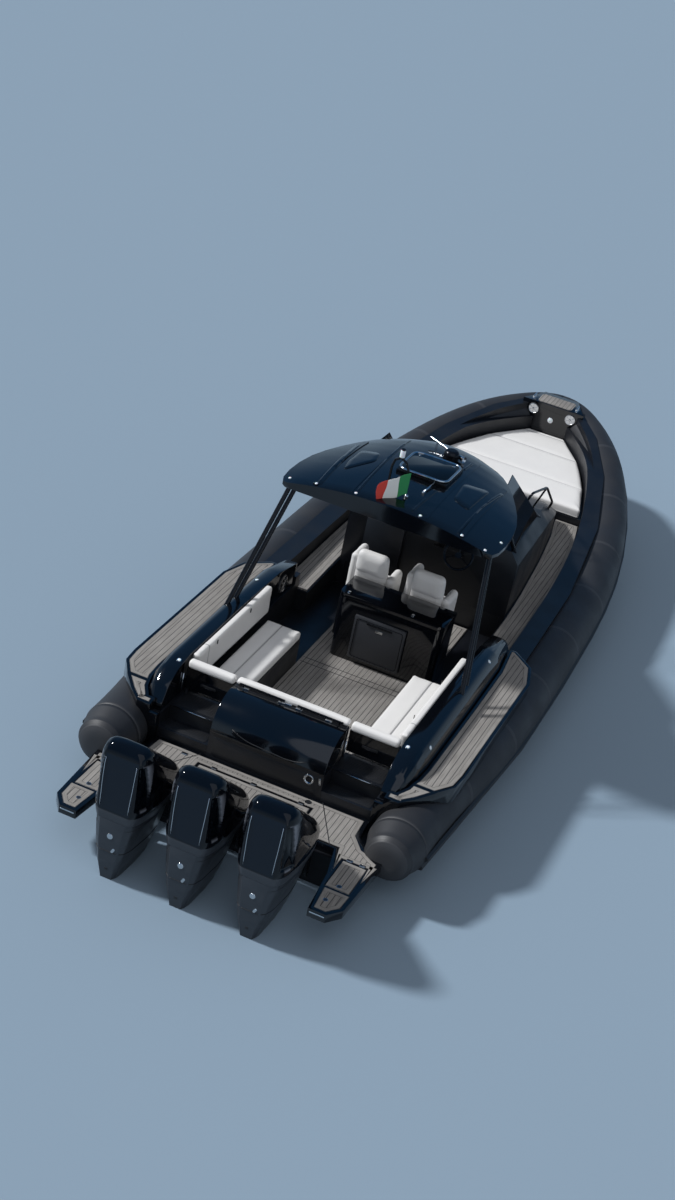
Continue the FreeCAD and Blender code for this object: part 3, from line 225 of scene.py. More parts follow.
# One node group welds a CAD mesh and shades it smooth except across edges sharper than an angle.
shading = bpy.data.node_groups.new("shade_by_angle", "GeometryNodeTree")
shading.interface.new_socket("Geometry", in_out="INPUT", socket_type="NodeSocketGeometry")
shading.interface.new_socket("Geometry", in_out="OUTPUT", socket_type="NodeSocketGeometry")
entry = shading.nodes.new("NodeGroupInput")
leave = shading.nodes.new("NodeGroupOutput")
bend = shading.nodes.new("GeometryNodeInputMeshEdgeAngle")
sharp = add(shading, "FunctionNodeCompare", {"data_type": "FLOAT", "operation": "GREATER_THAN"},
            i0=bend.outputs[0], i1=math.radians(EDGE_ANGLE))
soft = add(shading, "GeometryNodeSetShadeSmooth", {"domain": "FACE"}, Geometry=entry.outputs[0])
crisp = add(shading, "GeometryNodeSetShadeSmooth", {"domain": "EDGE"}, Geometry=soft.outputs[0],
            Selection=sharp.outputs[0], Shade_Smooth=False)
shading.links.new(crisp.outputs[0], leave.inputs[0])


def paint_node(name, material, bevel=0.0):
    """Gives a CAD node one material, smooth shading, and edges rounded by a bevel."""
    piece = node[name]
    if not piece.data.materials:
        piece.data.materials.append(material)
    for k in range(len(piece.data.materials)):
        piece.data.materials[k] = material
    weld = piece.modifiers.new("weld", "WELD")
    weld.merge_threshold = WELD_M
    if bevel:
        rounding = piece.modifiers.new("rounded_edges", "BEVEL")
        rounding.width = bevel
        rounding.segments = 2
        rounding.limit_method = "ANGLE"
        rounding.angle_limit = math.radians(EDGE_ANGLE)
    piece.modifiers.new("shading", "NODES").node_group = shading


# columns: node, finish, width of the rounded edges
for name, finish, bevel in (
        ("hull", satin, 0.0), ("swim_platform", gelcoat, 0.004), ("stern_unit", satin, 0.006),
        ("stern_lid", gelcoat, 0.006), ("boarding_steps", satin, 0.01), ("coamings", gelcoat, 0.006),
        ("side_steps", gelcoat, 0.008), ("sofa_bases", satin, 0.01), ("galley", gelcoat, 0.008),
        ("galley_lid", gelcoat, 0.012), ("helm_seat_base", satin, 0.01), ("console", satin, 0.012),
        ("hardtop", gelcoat, 0.0), ("bow_locker", gelcoat, 0.01), ("gate_port", gelcoat, 0.006),
        ("gate_starboard", gelcoat, 0.006), ("cabin_door", satin, 0.004)):
    paint_node(name, finish, bevel)

# Inflatable collar
# Air-filled tube of coated fabric, glued from panels with taped seams, with a moulded cone on
# each stern end and two rubber rubbing strips along its outer side.
# columns: x, y, z, radius, along the port half's centre line
COLLAR = np.array([
    (0.600, 1.530, 0.480, 0.300),
    (2.500, 1.665, 0.480, 0.300),
    (5.000, 1.685, 0.490, 0.300),
    (7.000, 1.590, 0.570, 0.297),
    (8.500, 1.310, 0.750, 0.285),
    (9.600, 0.880, 0.955, 0.268),
    (10.230, 0.440, 1.060, 0.250),
    (10.520, 0.000, 1.090, 0.240),
])
CONE_LONG = 0.190
CONE_SHARE = 0.82
DOME_LONG = 0.125
DOME_CAP = 0.070
PANEL_M = 1.15
TAPE_M = 0.05
FORE = (1, 0, 0)


def run_along(points):
    """Distance along a line of points: the running sum of the lengths of its steps."""
    return np.concatenate([[0.0], np.cumsum(np.linalg.norm(np.diff(points, axis=0), axis=1))])


def hermite(t, points, slopes, at):
    """The cubic through points p, q with slopes m, n over a stretch h, for s from 0 to 1:
    (2s^3 - 3s^2 + 1) p + (s^3 - 2s^2 + s) h m + (3s^2 - 2s^3) q + (s^3 - s^2) h n."""
    k = np.clip(np.searchsorted(t, at, side="right") - 1, 0, len(t) - 2)
    h = (t[k + 1] - t[k])[:, None]
    s = (at - t[k])[:, None] / h
    return ((2 * s**3 - 3 * s**2 + 1) * points[k] + (s**3 - 2 * s**2 + s) * h * slopes[k]
            + (3 * s**2 - 2 * s**3) * points[k + 1] + (s**3 - s**2) * h * slopes[k + 1])


def smooth_line(points, first, last, count):
    """Even points on the cubic spline through the given points, with smooth curvature, a
    parameter that grows with the chord, and set directions at its ends."""
    step = np.linalg.norm(np.diff(points[:, :3], axis=0), axis=1)
    t = np.concatenate([[0.0], np.cumsum(step)])
    n = len(points)
    slopes = np.zeros((n, n))
    right = np.zeros((n, points.shape[1]))
    slopes[0, 0] = slopes[-1, -1] = 1.0
    right[0], right[-1] = first, last
    for k in range(1, n - 1):
        a, b = step[k - 1], step[k]
        slopes[k, k - 1:k + 2] = b, 2 * (a + b), a
        right[k] = 3 * (b * (points[k] - points[k - 1]) / a + a * (points[k + 1] - points[k]) / b)
    return hermite(t, points, np.linalg.solve(slopes, right), np.linspace(0.0, t[-1], count))


def frames_along(line, normal=(0.0, 0.0, 1.0)):
    """Unit tangent, side and up of a line of points: side is a normal cross tangent."""
    tangent = np.gradient(line[:, :3], axis=0)
    tangent /= np.linalg.norm(tangent, axis=1)[:, None]
    side = np.cross(normal, tangent)
    side /= np.linalg.norm(side, axis=1)[:, None]
    return tangent, side, np.cross(tangent, side)


def grid_form(grid, wrap_u=False, wrap_v=True, caps=(0, -1)):
    """Points and faces of quads over a grid, rows u by columns v, joined end to end where it
    wraps; caps names the end rows, 0 or -1, that are closed by one face each."""
    rows, cols = grid.shape[:2]
    index = np.arange(rows * cols).reshape(rows, cols)
    a = index if wrap_u else index[:-1]
    b = np.roll(index, -1, axis=0) if wrap_u else index[1:]
    if not wrap_v:
        quads = np.stack([a[:, :-1], b[:, :-1], b[:, 1:], a[:, 1:]], -1)
    else:
        quads = np.stack([a, b, np.roll(b, -1, axis=1), np.roll(a, -1, axis=1)], -1)
    faces = quads.reshape(-1, 4).tolist()
    if not wrap_u:
        faces += [index[end].tolist() for end in caps]
    return grid.reshape(-1, 3), faces


def joined(forms):
    """Several forms of points and faces as one."""
    points, faces, start = [], [], 0
    for p, f in forms:
        points.append(p)
        faces += [[start + k for k in one] for one in f]
        start += len(p)
    return np.concatenate(points), faces


def piece_of(name, form, body, material, stands_for=(), uv=None, values=None,
             sharp=None):
    """A piece from points and faces: faces turned outwards, smooth except across edges past
    sharp degrees, with its finish, riding on a body. uv and values are given per point."""
    points, faces = form
    mesh = bpy.data.meshes.new(name)
    mesh.from_pydata(np.asarray(points, float).tolist(), [], faces)
    work = bmesh.new()
    work.from_mesh(mesh)
    bmesh.ops.recalc_face_normals(work, faces=work.faces)
    work.to_mesh(mesh)
    work.free()
    if uv is not None:
        layer = mesh.uv_layers.new(name="uv")
        loops = np.empty(len(mesh.loops), np.int32)
        mesh.loops.foreach_get("vertex_index", loops)
        layer.data.foreach_set("uv", uv.reshape(-1, 2)[loops].astype(np.float32).ravel())
    for key, value in (values or {}).items():
        mesh.attributes.new(key, "FLOAT", "POINT").data.foreach_set("value", value.astype(np.float32))
    mesh.polygons.foreach_set("use_smooth", np.ones(len(mesh.polygons), bool))
    if sharp:
        mesh.set_sharp_from_angle(angle=math.radians(sharp))
    mesh.materials.append(material)
    made = bpy.data.objects.new(name, mesh)
    bpy.context.collection.objects.link(made)
    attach(made, body)
    if stands_for:
        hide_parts(*stands_for)
    return made


# Coated collar fabric: matt charcoal, a fine cloth grain under the coating, taped seams raised a little
# and painted lighter than the cloth, a painted highlight that shows them as faint lines. The uv map is in
# metres along and around the tube.
fabric, tree, out = blank("coated_collar_fabric")
uv_node = add(tree, "ShaderNodeUVMap", {"uv_map": "uv"})
parts = add(tree, "ShaderNodeSeparateXYZ", Vector=uv_node.outputs[0])
panel = add(tree, "ShaderNodeMath", {"operation": "PINGPONG"}, i0=parts.outputs[0], i1=PANEL_M / 2)
tape = add(tree, "ShaderNodeMapRange", {"interpolation_type": "SMOOTHSTEP"}, Value=panel.outputs[0],
           From_Min=TAPE_M / 2 - 0.003, From_Max=TAPE_M / 2 + 0.003, To_Min=1.0, To_Max=0.0)
place = tree.nodes.new("ShaderNodeTexCoord")
grain = add(tree, "ShaderNodeTexNoise", Vector=place.outputs["Object"], Scale=380.0, Detail=2.0)
height = add(tree, "ShaderNodeMath", {"operation": "MULTIPLY_ADD"}, i0=tape.outputs[0], i1=4.0,
             i2=grain.outputs[0])
bump = add(tree, "ShaderNodeBump", Height=height.outputs[0], Distance=0.0006, Strength=0.6)
cloth = speckle(tree, "#222326", "#2c2d30", 0.35)
# Painted highlight: the tape is a lighter grey than the cloth, as if it caught the light.
tape_highlight = add(tree, "ShaderNodeMix", {"data_type": "RGBA"}, i0=tape.outputs[0], i6=cloth,
            i7=srgb("#343538"))
shader = add(tree, "ShaderNodeBsdfPrincipled", Base_Color=tape_highlight.outputs[2],
             Roughness=drift(tree, 0.5, 0.64, 0.4), IOR=1.5, Normal=bump.outputs[0])
tree.links.new(shader.outputs[0], out.inputs[0])

line = smooth_line(COLLAR, (1, 0, 0, 0), (0, -1, 0, 0), 200)
tangent, side, up = frames_along(line)
side[-1], up[-1] = (1.0, 0.0, 0.0), (0.0, 0.0, 1.0)
along = run_along(line[:, :3])
around = np.linspace(0.0, 2 * math.pi, 57)[:-1]


def ring_grid(line, side, up, radius, around):
    """Points on a round tube: centre + radius * (cos v * side + sin v * up)."""
    r = np.broadcast_to(radius, len(line))[:, None, None]
    ring = np.cos(around)[None, :, None] * side[:, None] + np.sin(around)[None, :, None] * up[:, None]
    return line[:, None, :3] + r * ring


def turned(profile, at, axis, count=24):
    """A form turned about an axis through a point: profile rows are radius and height."""
    axis = np.array(axis, float)
    axis /= np.linalg.norm(axis)
    across = np.cross(axis, (0.0, 0.0, 1.0) if abs(axis[2]) < 0.9 else (1.0, 0.0, 0.0))
    across /= np.linalg.norm(across)
    other = np.cross(axis, across)
    v = np.linspace(0.0, 2 * math.pi, count + 1)[:-1]
    r, h = np.array(profile, float).T
    ring = np.cos(v)[:, None] * across + np.sin(v)[:, None] * other
    grid = np.array(at, float) + r[:, None, None] * ring + h[:, None, None] * axis
    return grid_form(grid)


# The stern end: a cone, a raised band, then a dome down to a flat cap, with two moulded rings.
s = np.linspace(0.0, 1.0, 7)
a = np.linspace(0.0, math.pi / 2, 26)
neck = COLLAR[0, 3] * CONE_SHARE
back = np.concatenate([CONE_LONG * s, CONE_LONG + DOME_LONG * np.sin(a[1:])])
end_r = np.concatenate([COLLAR[0, 3] + (neck - COLLAR[0, 3]) * s,
                        DOME_CAP + (neck - DOME_CAP) * np.cos(a[1:]) ** 0.8])
for middle in (0.30, 0.72):
    end_r = end_r + 0.006 * np.exp(-((back - CONE_LONG - middle * DOME_LONG) / 0.004) ** 2)
for name, sign in (("port", 1.0), ("starboard", -1.0)):
    grid = ring_grid(line, side, up, line[:, 3], around) * np.array([1.0, sign, 1.0])
    uv = np.stack(np.broadcast_arrays(along[:, None], around[None] * COLLAR[0, 3]), -1)
    piece_of("collar_" + name, grid_form(grid), "hull", fabric, ("tube_" + name,), uv=uv)
    ends = turned(np.stack([end_r, -back], -1), COLLAR[0, :3] * (1, sign, 1), FORE, 56)
    uv = np.stack(np.broadcast_arrays(0.3 - back[:, None], around[None] * 0.3), -1)
    piece_of("collar_end_" + name, ends, "hull", fabric, uv=uv)

# Moulded rubber: satin black, a little greyer than the gelcoat, with a fine matt grain.
rubber, tree, out = blank("moulded_black_rubber")
shader = add(tree, "ShaderNodeBsdfPrincipled", Base_Color=speckle(tree, "#17181b", "#1d1e21", 0.05),
             Roughness=0.5, Normal=finish_ripple(tree, 0.004, 0.0002, 0.4))
tree.links.new(shader.outputs[0], out.inputs[0])
paint_node("rub_strakes", rubber)

# Laid decks
# Synthetic teak planks, 55 mm wide with 6 mm black caulking, glued down in panels, each with a
# margin board round its edge. The planks run fore and aft.
PLANK_M = 0.055
CAULK_M = 0.006
MARGIN_M = 0.048
MARGIN_LIFT = 0.0012


def teak_wood(tree, vector):
    """Grey-brown wood with long streaks: noise stretched along the first axis."""
    stretch = add(tree, "ShaderNodeMapping", Vector=vector, Scale=(1.2, 26.0, 26.0))
    grain = add(tree, "ShaderNodeTexNoise", Vector=stretch.outputs[0], Scale=4.0, Detail=6.0,
                Roughness=0.6)
    patch = add(tree, "ShaderNodeTexNoise", Vector=vector, Scale=1.3, Detail=2.0)
    both = add(tree, "ShaderNodeMath", {"operation": "MULTIPLY_ADD"}, i0=patch.outputs[0], i1=0.5,
               i2=grain.outputs[0])
    share = add(tree, "ShaderNodeMapRange", Value=both.outputs[0], From_Min=0.5, From_Max=1.0)
    return add(tree, "ShaderNodeMix", {"data_type": "RGBA"}, i0=share.outputs[0], i6=srgb("#716d69"),
               i7=srgb("#999692")).outputs[2]


def teak_material(name, vector_of, across):
    """Planks whose caulk lines lie where a coordinate comes back to a whole number of planks."""
    made, tree, out = blank(name)
    vector = vector_of(tree)
    parts = add(tree, "ShaderNodeSeparateXYZ", Vector=vector)
    ping = add(tree, "ShaderNodeMath", {"operation": "PINGPONG"}, i0=parts.outputs[1], i1=across / 2)
    caulk = add(tree, "ShaderNodeMapRange", Value=ping.outputs[0], From_Min=CAULK_M / 2 - 0.0006,
                From_Max=CAULK_M / 2 + 0.0006)
    planks = add(tree, "ShaderNodeMix", {"data_type": "RGBA"}, i0=caulk.outputs[0], i6=srgb("#1b1b1d"),
                 i7=teak_wood(tree, vector))
    bump = add(tree, "ShaderNodeBump", Height=caulk.outputs[0], Distance=0.001, Strength=0.6)
    shader = add(tree, "ShaderNodeBsdfPrincipled", Base_Color=planks.outputs[2], Roughness=0.72,
                 Normal=bump.outputs[0])
    tree.links.new(shader.outputs[0], out.inputs[0])
    return made


teak = teak_material("synthetic_teak_planks",
                     lambda tree: tree.nodes.new("ShaderNodeTexCoord").outputs["Object"], PLANK_M)
margin = teak_material("synthetic_teak_margin",
                       lambda tree: add(tree, "ShaderNodeUVMap", {"uv_map": "uv"}).outputs[0], MARGIN_M)


def top_loops(name):
    """The outlines of a CAD node's upward faces, each an array of points with the face on its
    left. Triangles are joined where their corners agree to a tenth of a millimetre."""
    mesh = node[name].data
    points = np.empty(len(mesh.vertices) * 3)
    mesh.vertices.foreach_get("co", points)
    points = points.reshape(-1, 3)
    first, index = np.unique(np.round(points * 1e4).astype(np.int64), axis=0,
                             return_index=True, return_inverse=True)[1:]
    index = index.ravel()
    mesh.calc_loop_triangles()
    triangles = index[np.array([t.vertices[:] for t in mesh.loop_triangles])]
    corner = points[first][triangles]
    normal = np.cross(corner[:, 1] - corner[:, 0], corner[:, 2] - corner[:, 0])
    size = np.linalg.norm(normal, axis=1)
    triangles = triangles[(normal[:, 2] > 0.9 * size) & (size > 1e-9)]
    edges = {(int(a), int(b)) for t in triangles for a, b in zip(t, np.roll(t, -1))}
    onward = {a: b for a, b in edges if (b, a) not in edges}
    loops = []
    while onward:
        start = a = next(iter(onward))
        chain = []
        while a in onward:
            chain.append(a)
            a = onward.pop(a)
        if a == start and len(chain) > 3:
            loops.append(points[first][chain])
    return loops


def thinned(loop, least):
    """A loop without the points that lie closer than a least distance to the one before."""
    keep = [loop[0]]
    for p in loop[1:]:
        if np.linalg.norm(p - keep[-1]) > least:
            keep.append(p)
    return np.array(keep)


def inset(loop, width):
    """A loop moved to its left by a width, mitred: p + width * (n1 + n2) / (1 + n1 . n2)."""
    ahead = np.roll(loop, -1, axis=0) - loop
    ahead = ahead[:, :2] / np.linalg.norm(ahead[:, :2], axis=1)[:, None]
    left = np.stack([-ahead[:, 1], ahead[:, 0]], -1)
    before = np.roll(left, 1, axis=0)
    shift = (left + before) / np.maximum(1 + (left * before).sum(1), 0.35)[:, None]
    moved = loop.copy()
    moved[:, :2] += width * shift
    fit = np.linalg.lstsq(np.c_[loop[:, :2], np.ones(len(loop))], loop[:, 2], rcond=None)[0]
    moved[:, 2] = moved[:, :2] @ fit[:2] + fit[2]
    return moved


def margin_board(name, loop, body):
    """A board round a panel: a flat ring between its outline and the outline inset. Where an
    inner edge turns back against the outline's, both its ends are drawn to its middle."""
    outer = inset(loop, 0.001)
    inner = inset(loop, MARGIN_M)
    edges = np.roll(loop, -1, axis=0) - loop
    for again in range(12):
        backward = ((np.roll(inner, -1, axis=0) - inner) * edges).sum(1) < 0
        crossed = np.nonzero(backward)[0]
        following = (crossed + 1) % len(loop)
        inner[crossed] = inner[following] = (inner[crossed] + inner[following]) / 2
    high = np.array([0.0, 0.0, MARGIN_LIFT])
    grid = np.stack([outer - 3 * high, outer + high, inner + high, inner - 3 * high], 1)
    length = run_along(loop)
    uv = np.stack(np.broadcast_arrays(length[:, None], np.array([0.0, 0.0, MARGIN_M, MARGIN_M])), -1)
    return piece_of(name, grid_form(grid, wrap_u=True), body, margin, uv=uv, sharp=30)


paint_node("teak_decks", teak)
for name in ("teak_decks", "platform_hatch", "ladder_lid_port", "ladder_lid_starboard"):
    body = "hull" if name == "teak_decks" else name
    if name != "teak_decks":
        paint_node(name, teak, 0.002)
    for k, loop in enumerate(top_loops(name)):
        margin_board("%s_margin_%d" % (name, k), thinned(loop, 0.004), body)

# Steel, glass, metal
# Polished stainless deck fittings, tinted cast acrylic panes, and black anodised tube.
steel, tree, out = blank("polished_stainless_steel")
shader = add(tree, "ShaderNodeBsdfPrincipled", Base_Color=srgb("#c9cbcd"), Metallic=1.0,
             Roughness=drift(tree, 0.12, 0.2, 0.05), Normal=finish_ripple(tree, 0.03, 0.0002, 0.3))
tree.links.new(shader.outputs[0], out.inputs[0])
# Cast acrylic, smoked almost black, thin enough to see dimly through.
tinted, tree, out = blank("smoked_cast_acrylic")
shader = add(tree, "ShaderNodeBsdfPrincipled", Base_Color=srgb("#06090d"), Roughness=0.03,
             Transmission_Weight=0.12, IOR=1.49, Specular_IOR_Level=0.3,
             Normal=finish_ripple(tree, 0.3, 0.0003, 0.2))
tree.links.new(shader.outputs[0], out.inputs[0])
# Black anodised tube: dark satin metal with a soft shine along its length.
anodised, tree, out = blank("black_anodised_aluminium")
shader = add(tree, "ShaderNodeBsdfPrincipled", Base_Color=speckle(tree, "#111216", "#191b20", 0.04),
             Metallic=0.5, Roughness=drift(tree, 0.2, 0.3, 0.06),
             Normal=finish_ripple(tree, 0.05, 0.0002, 0.2))
tree.links.new(shader.outputs[0], out.inputs[0])
# Frosted lamp lens: milky white acrylic, in which light spreads a little.
lens, tree, out = blank("frosted_lamp_lens")
shader = add(tree, "ShaderNodeBsdfPrincipled", Base_Color=srgb("#e6eaee"), Roughness=0.25,
             Subsurface_Weight=0.2, Normal=finish_ripple(tree, 0.01, 0.0001, 0.2))
tree.links.new(shader.outputs[0], out.inputs[0])
for name in ("windscreen_frame", "roof_pillars", "stern_rails", "roof_fittings", "steering_wheel",
             "transom_brackets", "swivel_1", "swivel_2", "swivel_3"):
    paint_node(name, anodised, 0.002 if name == "transom_brackets" else 0.0)
paint_node("windscreen", tinted)
paint_node("skylight_frame", anodised, 0.004)
paint_node("eyes", steel, 0.002)
for n in "123":
    paint_node("propeller_" + n, steel)


def unit(v):
    """A direction made one long: v / |v|."""
    return np.array(v, float) / np.linalg.norm(v)


def plate_form(at, facing, along, length, width, corner, thick, edge=0.0015, sunk=0.002):
    """A flat plate with rounded corners, standing on a point: rings of its outline at the foot,
    under the edge and, drawn in by the edge, on top."""
    n = unit(facing)
    a = unit(np.array(along, float) - np.dot(along, n) * n)
    b = np.cross(n, a)
    corner = min(corner, length / 2 - 1e-4, width / 2 - 1e-4)
    turn = np.linspace(0, math.pi / 2, 7)
    corners = [(1, 1, 0), (-1, 1, 1), (-1, -1, 2), (1, -1, 3)]
    rows = []
    for inset_by, height in ((0.0, -sunk), (0.0, thick - edge), (0.3 * edge, thick - 0.3 * edge),
                             (edge, thick)):
        r = max(corner - inset_by, 1e-4)
        ring = []
        for sx, sy, k in corners:
            cx, cy = sx * (length / 2 - corner), sy * (width / 2 - corner)
            t = turn + k * math.pi / 2
            ring.append(np.stack([cx + r * np.cos(t), cy + r * np.sin(t)], -1))
        ring = np.concatenate(ring)
        rows.append(np.array(at, float) + ring[:, :1] * a + ring[:, 1:] * b + height * n)
    return grid_form(np.array(rows))


def rounded_path(points, bend):
    """A path through points whose inner corners are rounded by a curve that starts and ends a
    bend's length from each: (1-t)^2 a + 2t(1-t) b + t^2 c."""
    points = [np.array(p, float) for p in points]
    path = [points[0]]
    t = np.linspace(0, 1, 7)[:, None]
    for before, b, after in zip(points, points[1:], points[2:]):
        a = b + unit(before - b) * min(bend, 0.49 * np.linalg.norm(before - b))
        c = b + unit(after - b) * min(bend, 0.49 * np.linalg.norm(after - b))
        path += list((1 - t) ** 2 * a + 2 * t * (1 - t) * b + t ** 2 * c)
    return np.array(path + [points[-1]])


def pipe_form(points, radius, normal, bend=0.03, closed=False, count=12):
    """A round tube along a path with rounded corners; normal is never along the path."""
    if closed:
        middle = (np.array(points[0]) + points[-1]) / 2
        path = rounded_path([middle] + list(points) + [middle], bend)[:-1]
        ahead = np.roll(path, -1, axis=0) - np.roll(path, 1, axis=0)
    else:
        path = rounded_path(points, bend)
        ahead = np.gradient(path, axis=0)
    ahead /= np.linalg.norm(ahead, axis=1)[:, None]
    across = np.cross(normal, ahead)
    across /= np.linalg.norm(across, axis=1)[:, None]
    v = np.linspace(0, 2 * math.pi, count + 1)[:-1]
    ring = ring_grid(path, across, np.cross(ahead, across), radius, v)
    return grid_form(ring, wrap_u=closed)


surfaces = {}


def landing(name, start, toward):
    """Where a straight line first meets a CAD node: the point, and the surface's direction."""
    if name not in surfaces:
        mesh = node[name].data
        surfaces[name] = BVHTree.FromPolygons([v.co for v in mesh.vertices],
                                              [p.vertices[:] for p in mesh.polygons])
    at, normal = surfaces[name].ray_cast(Vector(start), Vector(toward).normalized())[:2]
    if at is None:
        return np.array(start, float), -unit(toward)
    normal = np.array(normal)
    return np.array(at), normal if np.dot(normal, toward) < 0 else -normal


def disc(at, facing, radius, thick, edge=0.0015):
    """A flat round plate with its edge taken off at a slant, turned."""
    rows = ((radius, -0.002), (radius, thick - edge), (radius - edge, thick), (0.5 * radius, thick))
    return turned(rows, at, facing)


def domed(at, facing, radius, high):
    """A round cap: half an ellipse of this radius and height, turned."""
    t = np.linspace(0, 0.94 * math.pi / 2, 7)
    rows = [(radius, -0.002)] + [(radius * math.cos(s), high * math.sin(s)) for s in t]
    return turned(rows, at, facing)


# Roof
# The hardtop carries a raised glass hatch in a polished frame with a gas strut, small white
# lights along its aft edge, a lamp on a hoop, the flag, the aerial's dome and a horn.
LIGHT_R = 0.016
LIGHT_AFT_X = 3.165
LIGHTS_Y = (0.81, 0.37, -0.35, -0.82, -1.09)
LIGHT_CORNERS = ((3.235, 1.13), (3.45, -1.17))
HATCH_TUBE_R = 0.014
HATCH_CORNER = 0.075
LAMP_AT = (3.4, 0.04, 3.0)
LAMP_R = 0.027
ABOVE_ROOF = 3.0
HORN = ((4.93, 0.20, 2.63), (4.70, -0.28, 2.60))
DOWN = (0, 0, -1)
PORT = (0, 1, 0)
for k, (x, y) in enumerate([(LIGHT_AFT_X, y) for y in LIGHTS_Y] + list(LIGHT_CORNERS)):
    at, facing = landing("hardtop", (x, y, ABOVE_ROOF), DOWN)
    piece_of("roof_light_ring_%d" % k, disc(at, facing, LIGHT_R * 1.25, 0.003), "hull", steel,
             sharp=40)
    piece_of("roof_light_%d" % k, domed(at + 0.003 * facing, facing, LIGHT_R, 0.008), "hull", lens)

hatch_points = np.array([v.co[:] for v in node["roof_hatch"].data.vertices])
low, high = hatch_points.min(0), hatch_points.max(0)
aft_top = hatch_points[hatch_points[:, 0] < low[0] + 0.002, 2].max()
fore_top = hatch_points[hatch_points[:, 0] > high[0] - 0.002, 2].max()
slope = unit((high[0] - low[0], 0, fore_top - aft_top))
upward = np.cross(slope, PORT)
middle = np.array([(low[0] + high[0]) / 2, (low[1] + high[1]) / 2, (aft_top + fore_top) / 2])
half_long, half_wide = (high[0] - low[0]) / 2, (high[1] - low[1]) / 2
piece_of("roof_hatch_pane", plate_form(middle - 0.022 * upward, upward, slope, 2 * half_long - 0.02,
                                       2 * half_wide - 0.02, HATCH_CORNER, 0.014, sunk=0.0),
         "roof_hatch", tinted, ("roof_hatch",), sharp=30)
rim_long, rim_wide = half_long - 0.012, half_wide - 0.012
rim = [middle - 0.014 * upward + sx * rim_long * slope + np.array([0, sy * rim_wide, 0])
       for sx, sy in ((1, 1), (-1, 1), (-1, -1), (1, -1))]
piece_of("roof_hatch_tube", pipe_form(rim, HATCH_TUBE_R, upward, 0.11, closed=True), "roof_hatch",
         steel)
for k, side_y in enumerate((1, -1)):
    at = middle - 0.008 * upward + 0.2 * slope + np.array([0, side_y * 0.2, 0])
    piece_of("roof_hatch_stud_%d" % k, domed(at, upward, 0.013, 0.005), "roof_hatch", steel)
foot, facing = landing("hardtop", (3.60, -0.21, ABOVE_ROOF), DOWN)
strut = [foot + 0.016 * facing, (3.862, -0.235, middle[2] - 0.03 - 0.3 * slope[2])]
piece_of("roof_strut", pipe_form(strut, 0.009, PORT), "hull", steel)
piece_of("roof_strut_foot", disc(foot, facing, 0.02, 0.02), "hull", steel, sharp=40)

lamp_rows = ((LAMP_R, 0.0), (LAMP_R, 0.07), (0.8 * LAMP_R, 0.084), (0.4 * LAMP_R, 0.09))
piece_of("hoop_lamp_lens", turned(lamp_rows, LAMP_AT, UP), "hull", lens, sharp=50)
piece_of("hoop_bolt", domed((3.4, -0.092, 2.60), (-0.6, -0.8, 0), 0.02, 0.03), "hull", steel)
a, b = np.array(HORN[0]), np.array(HORN[1])
reach = np.linalg.norm(b - a)
horn_rows = ((0.010, 0.0), (0.012, 0.02), (0.012, 0.5 * reach), (0.016, 0.75 * reach),
             (0.026, 0.93 * reach), (0.036, reach), (0.030, reach - 0.004), (0.012, reach - 0.05))
piece_of("horn", turned(horn_rows, a, b - a), "hull", steel, sharp=60)
for k, share in enumerate((0.2, 0.6)):
    at, facing = landing("hardtop", a + share * (b - a) + np.array([0, 0, 0.3]), DOWN)
    piece_of("horn_foot_%d" % k, disc(at, facing, 0.012, 0.05), "hull", steel, sharp=40)

# The roof's skin is stiffened by raised ribs that run fore and aft, and by two raised pads.
# columns: name, points of the middle line, width, height
ROOF_RIBS = (
    ("band", ((3.17, 0.781), (4.46, 0.851)), 0.060, 0.009),
    ("port", ((3.17, 0.368), (4.78, 0.422)), 0.030, 0.009),
    ("starboard", ((3.17, -0.250), (3.80, -0.300)), 0.030, 0.009),
    ("fore", ((4.53, -0.345), (4.80, -0.352)), 0.030, 0.009),
    ("side", ((3.17, -0.770), (3.88, -0.786), (4.46, -0.835)), 0.030, 0.009),
)
ROOF_PADS = (
    ("port", ((3.60, 0.70), (3.86, 0.745), (4.26, 0.745), (4.26, 0.52), (4.00, 0.48))),
    ("starboard", ((4.20, -0.46), (4.34, -0.73), (3.66, -0.70), (3.74, -0.50))),
)


# columns: shares of the rib's width and height, round its section
RIB_SECTION = ((-0.5, -0.4), (-0.47, 0.25), (-0.38, 0.8), (-0.22, 1.0), (0.22, 1.0), (0.38, 0.8),
               (0.47, 0.25), (0.5, -0.4))
RIB_ROWS = 60
# columns: share of the pad's outline about its middle, lift above the roof
PAD_RINGS = ((1.0, -0.003), (0.985, 0.004), (0.95, 0.0085), (0.6, 0.010), (0.2, 0.010))
PAD_CORNER = 0.07
PAD_POINTS = 80


def on_roof(x, y, lift):
    """The point of the roof's skin at a place in plan, raised by a lift."""
    return landing("hardtop", (x, y, ABOVE_ROOF), DOWN)[0] + (0, 0, lift)


def evened(line, count):
    """Even points along a line in plan: x and y read off by the distance along it."""
    far = run_along(line)
    return np.stack([np.interp(np.linspace(0, far[-1], count), far, line[:, c]) for c in (0, 1)], -1)


for name, line, wide, high in ROOF_RIBS:
    along = evened(np.array(line), RIB_ROWS)
    crest = np.clip(6 * np.sin(np.linspace(0, math.pi, RIB_ROWS)), 0, 1)
    rib = [[on_roof(x, y - a * wide, high * (h if h < 0 else h * c)) for a, h in RIB_SECTION]
           for (x, y), c in zip(along, crest)]
    piece_of("roof_rib_" + name, grid_form(np.array(rib)), "hull", gelcoat)
for name, corner_set in ROOF_PADS:
    corner_set = [np.array(c + (0.0,)) for c in corner_set]
    path = evened(rounded_path(corner_set + corner_set[:2], PAD_CORNER)[1:-1], PAD_POINTS + 1)[:-1]
    heart = path.mean(0)
    rings = [[on_roof(*(heart + share * (p - heart)), lift) for p in path]
             for share, lift in PAD_RINGS]
    piece_of("roof_pad_" + name, grid_form(np.array(rings)), "hull", gelcoat)

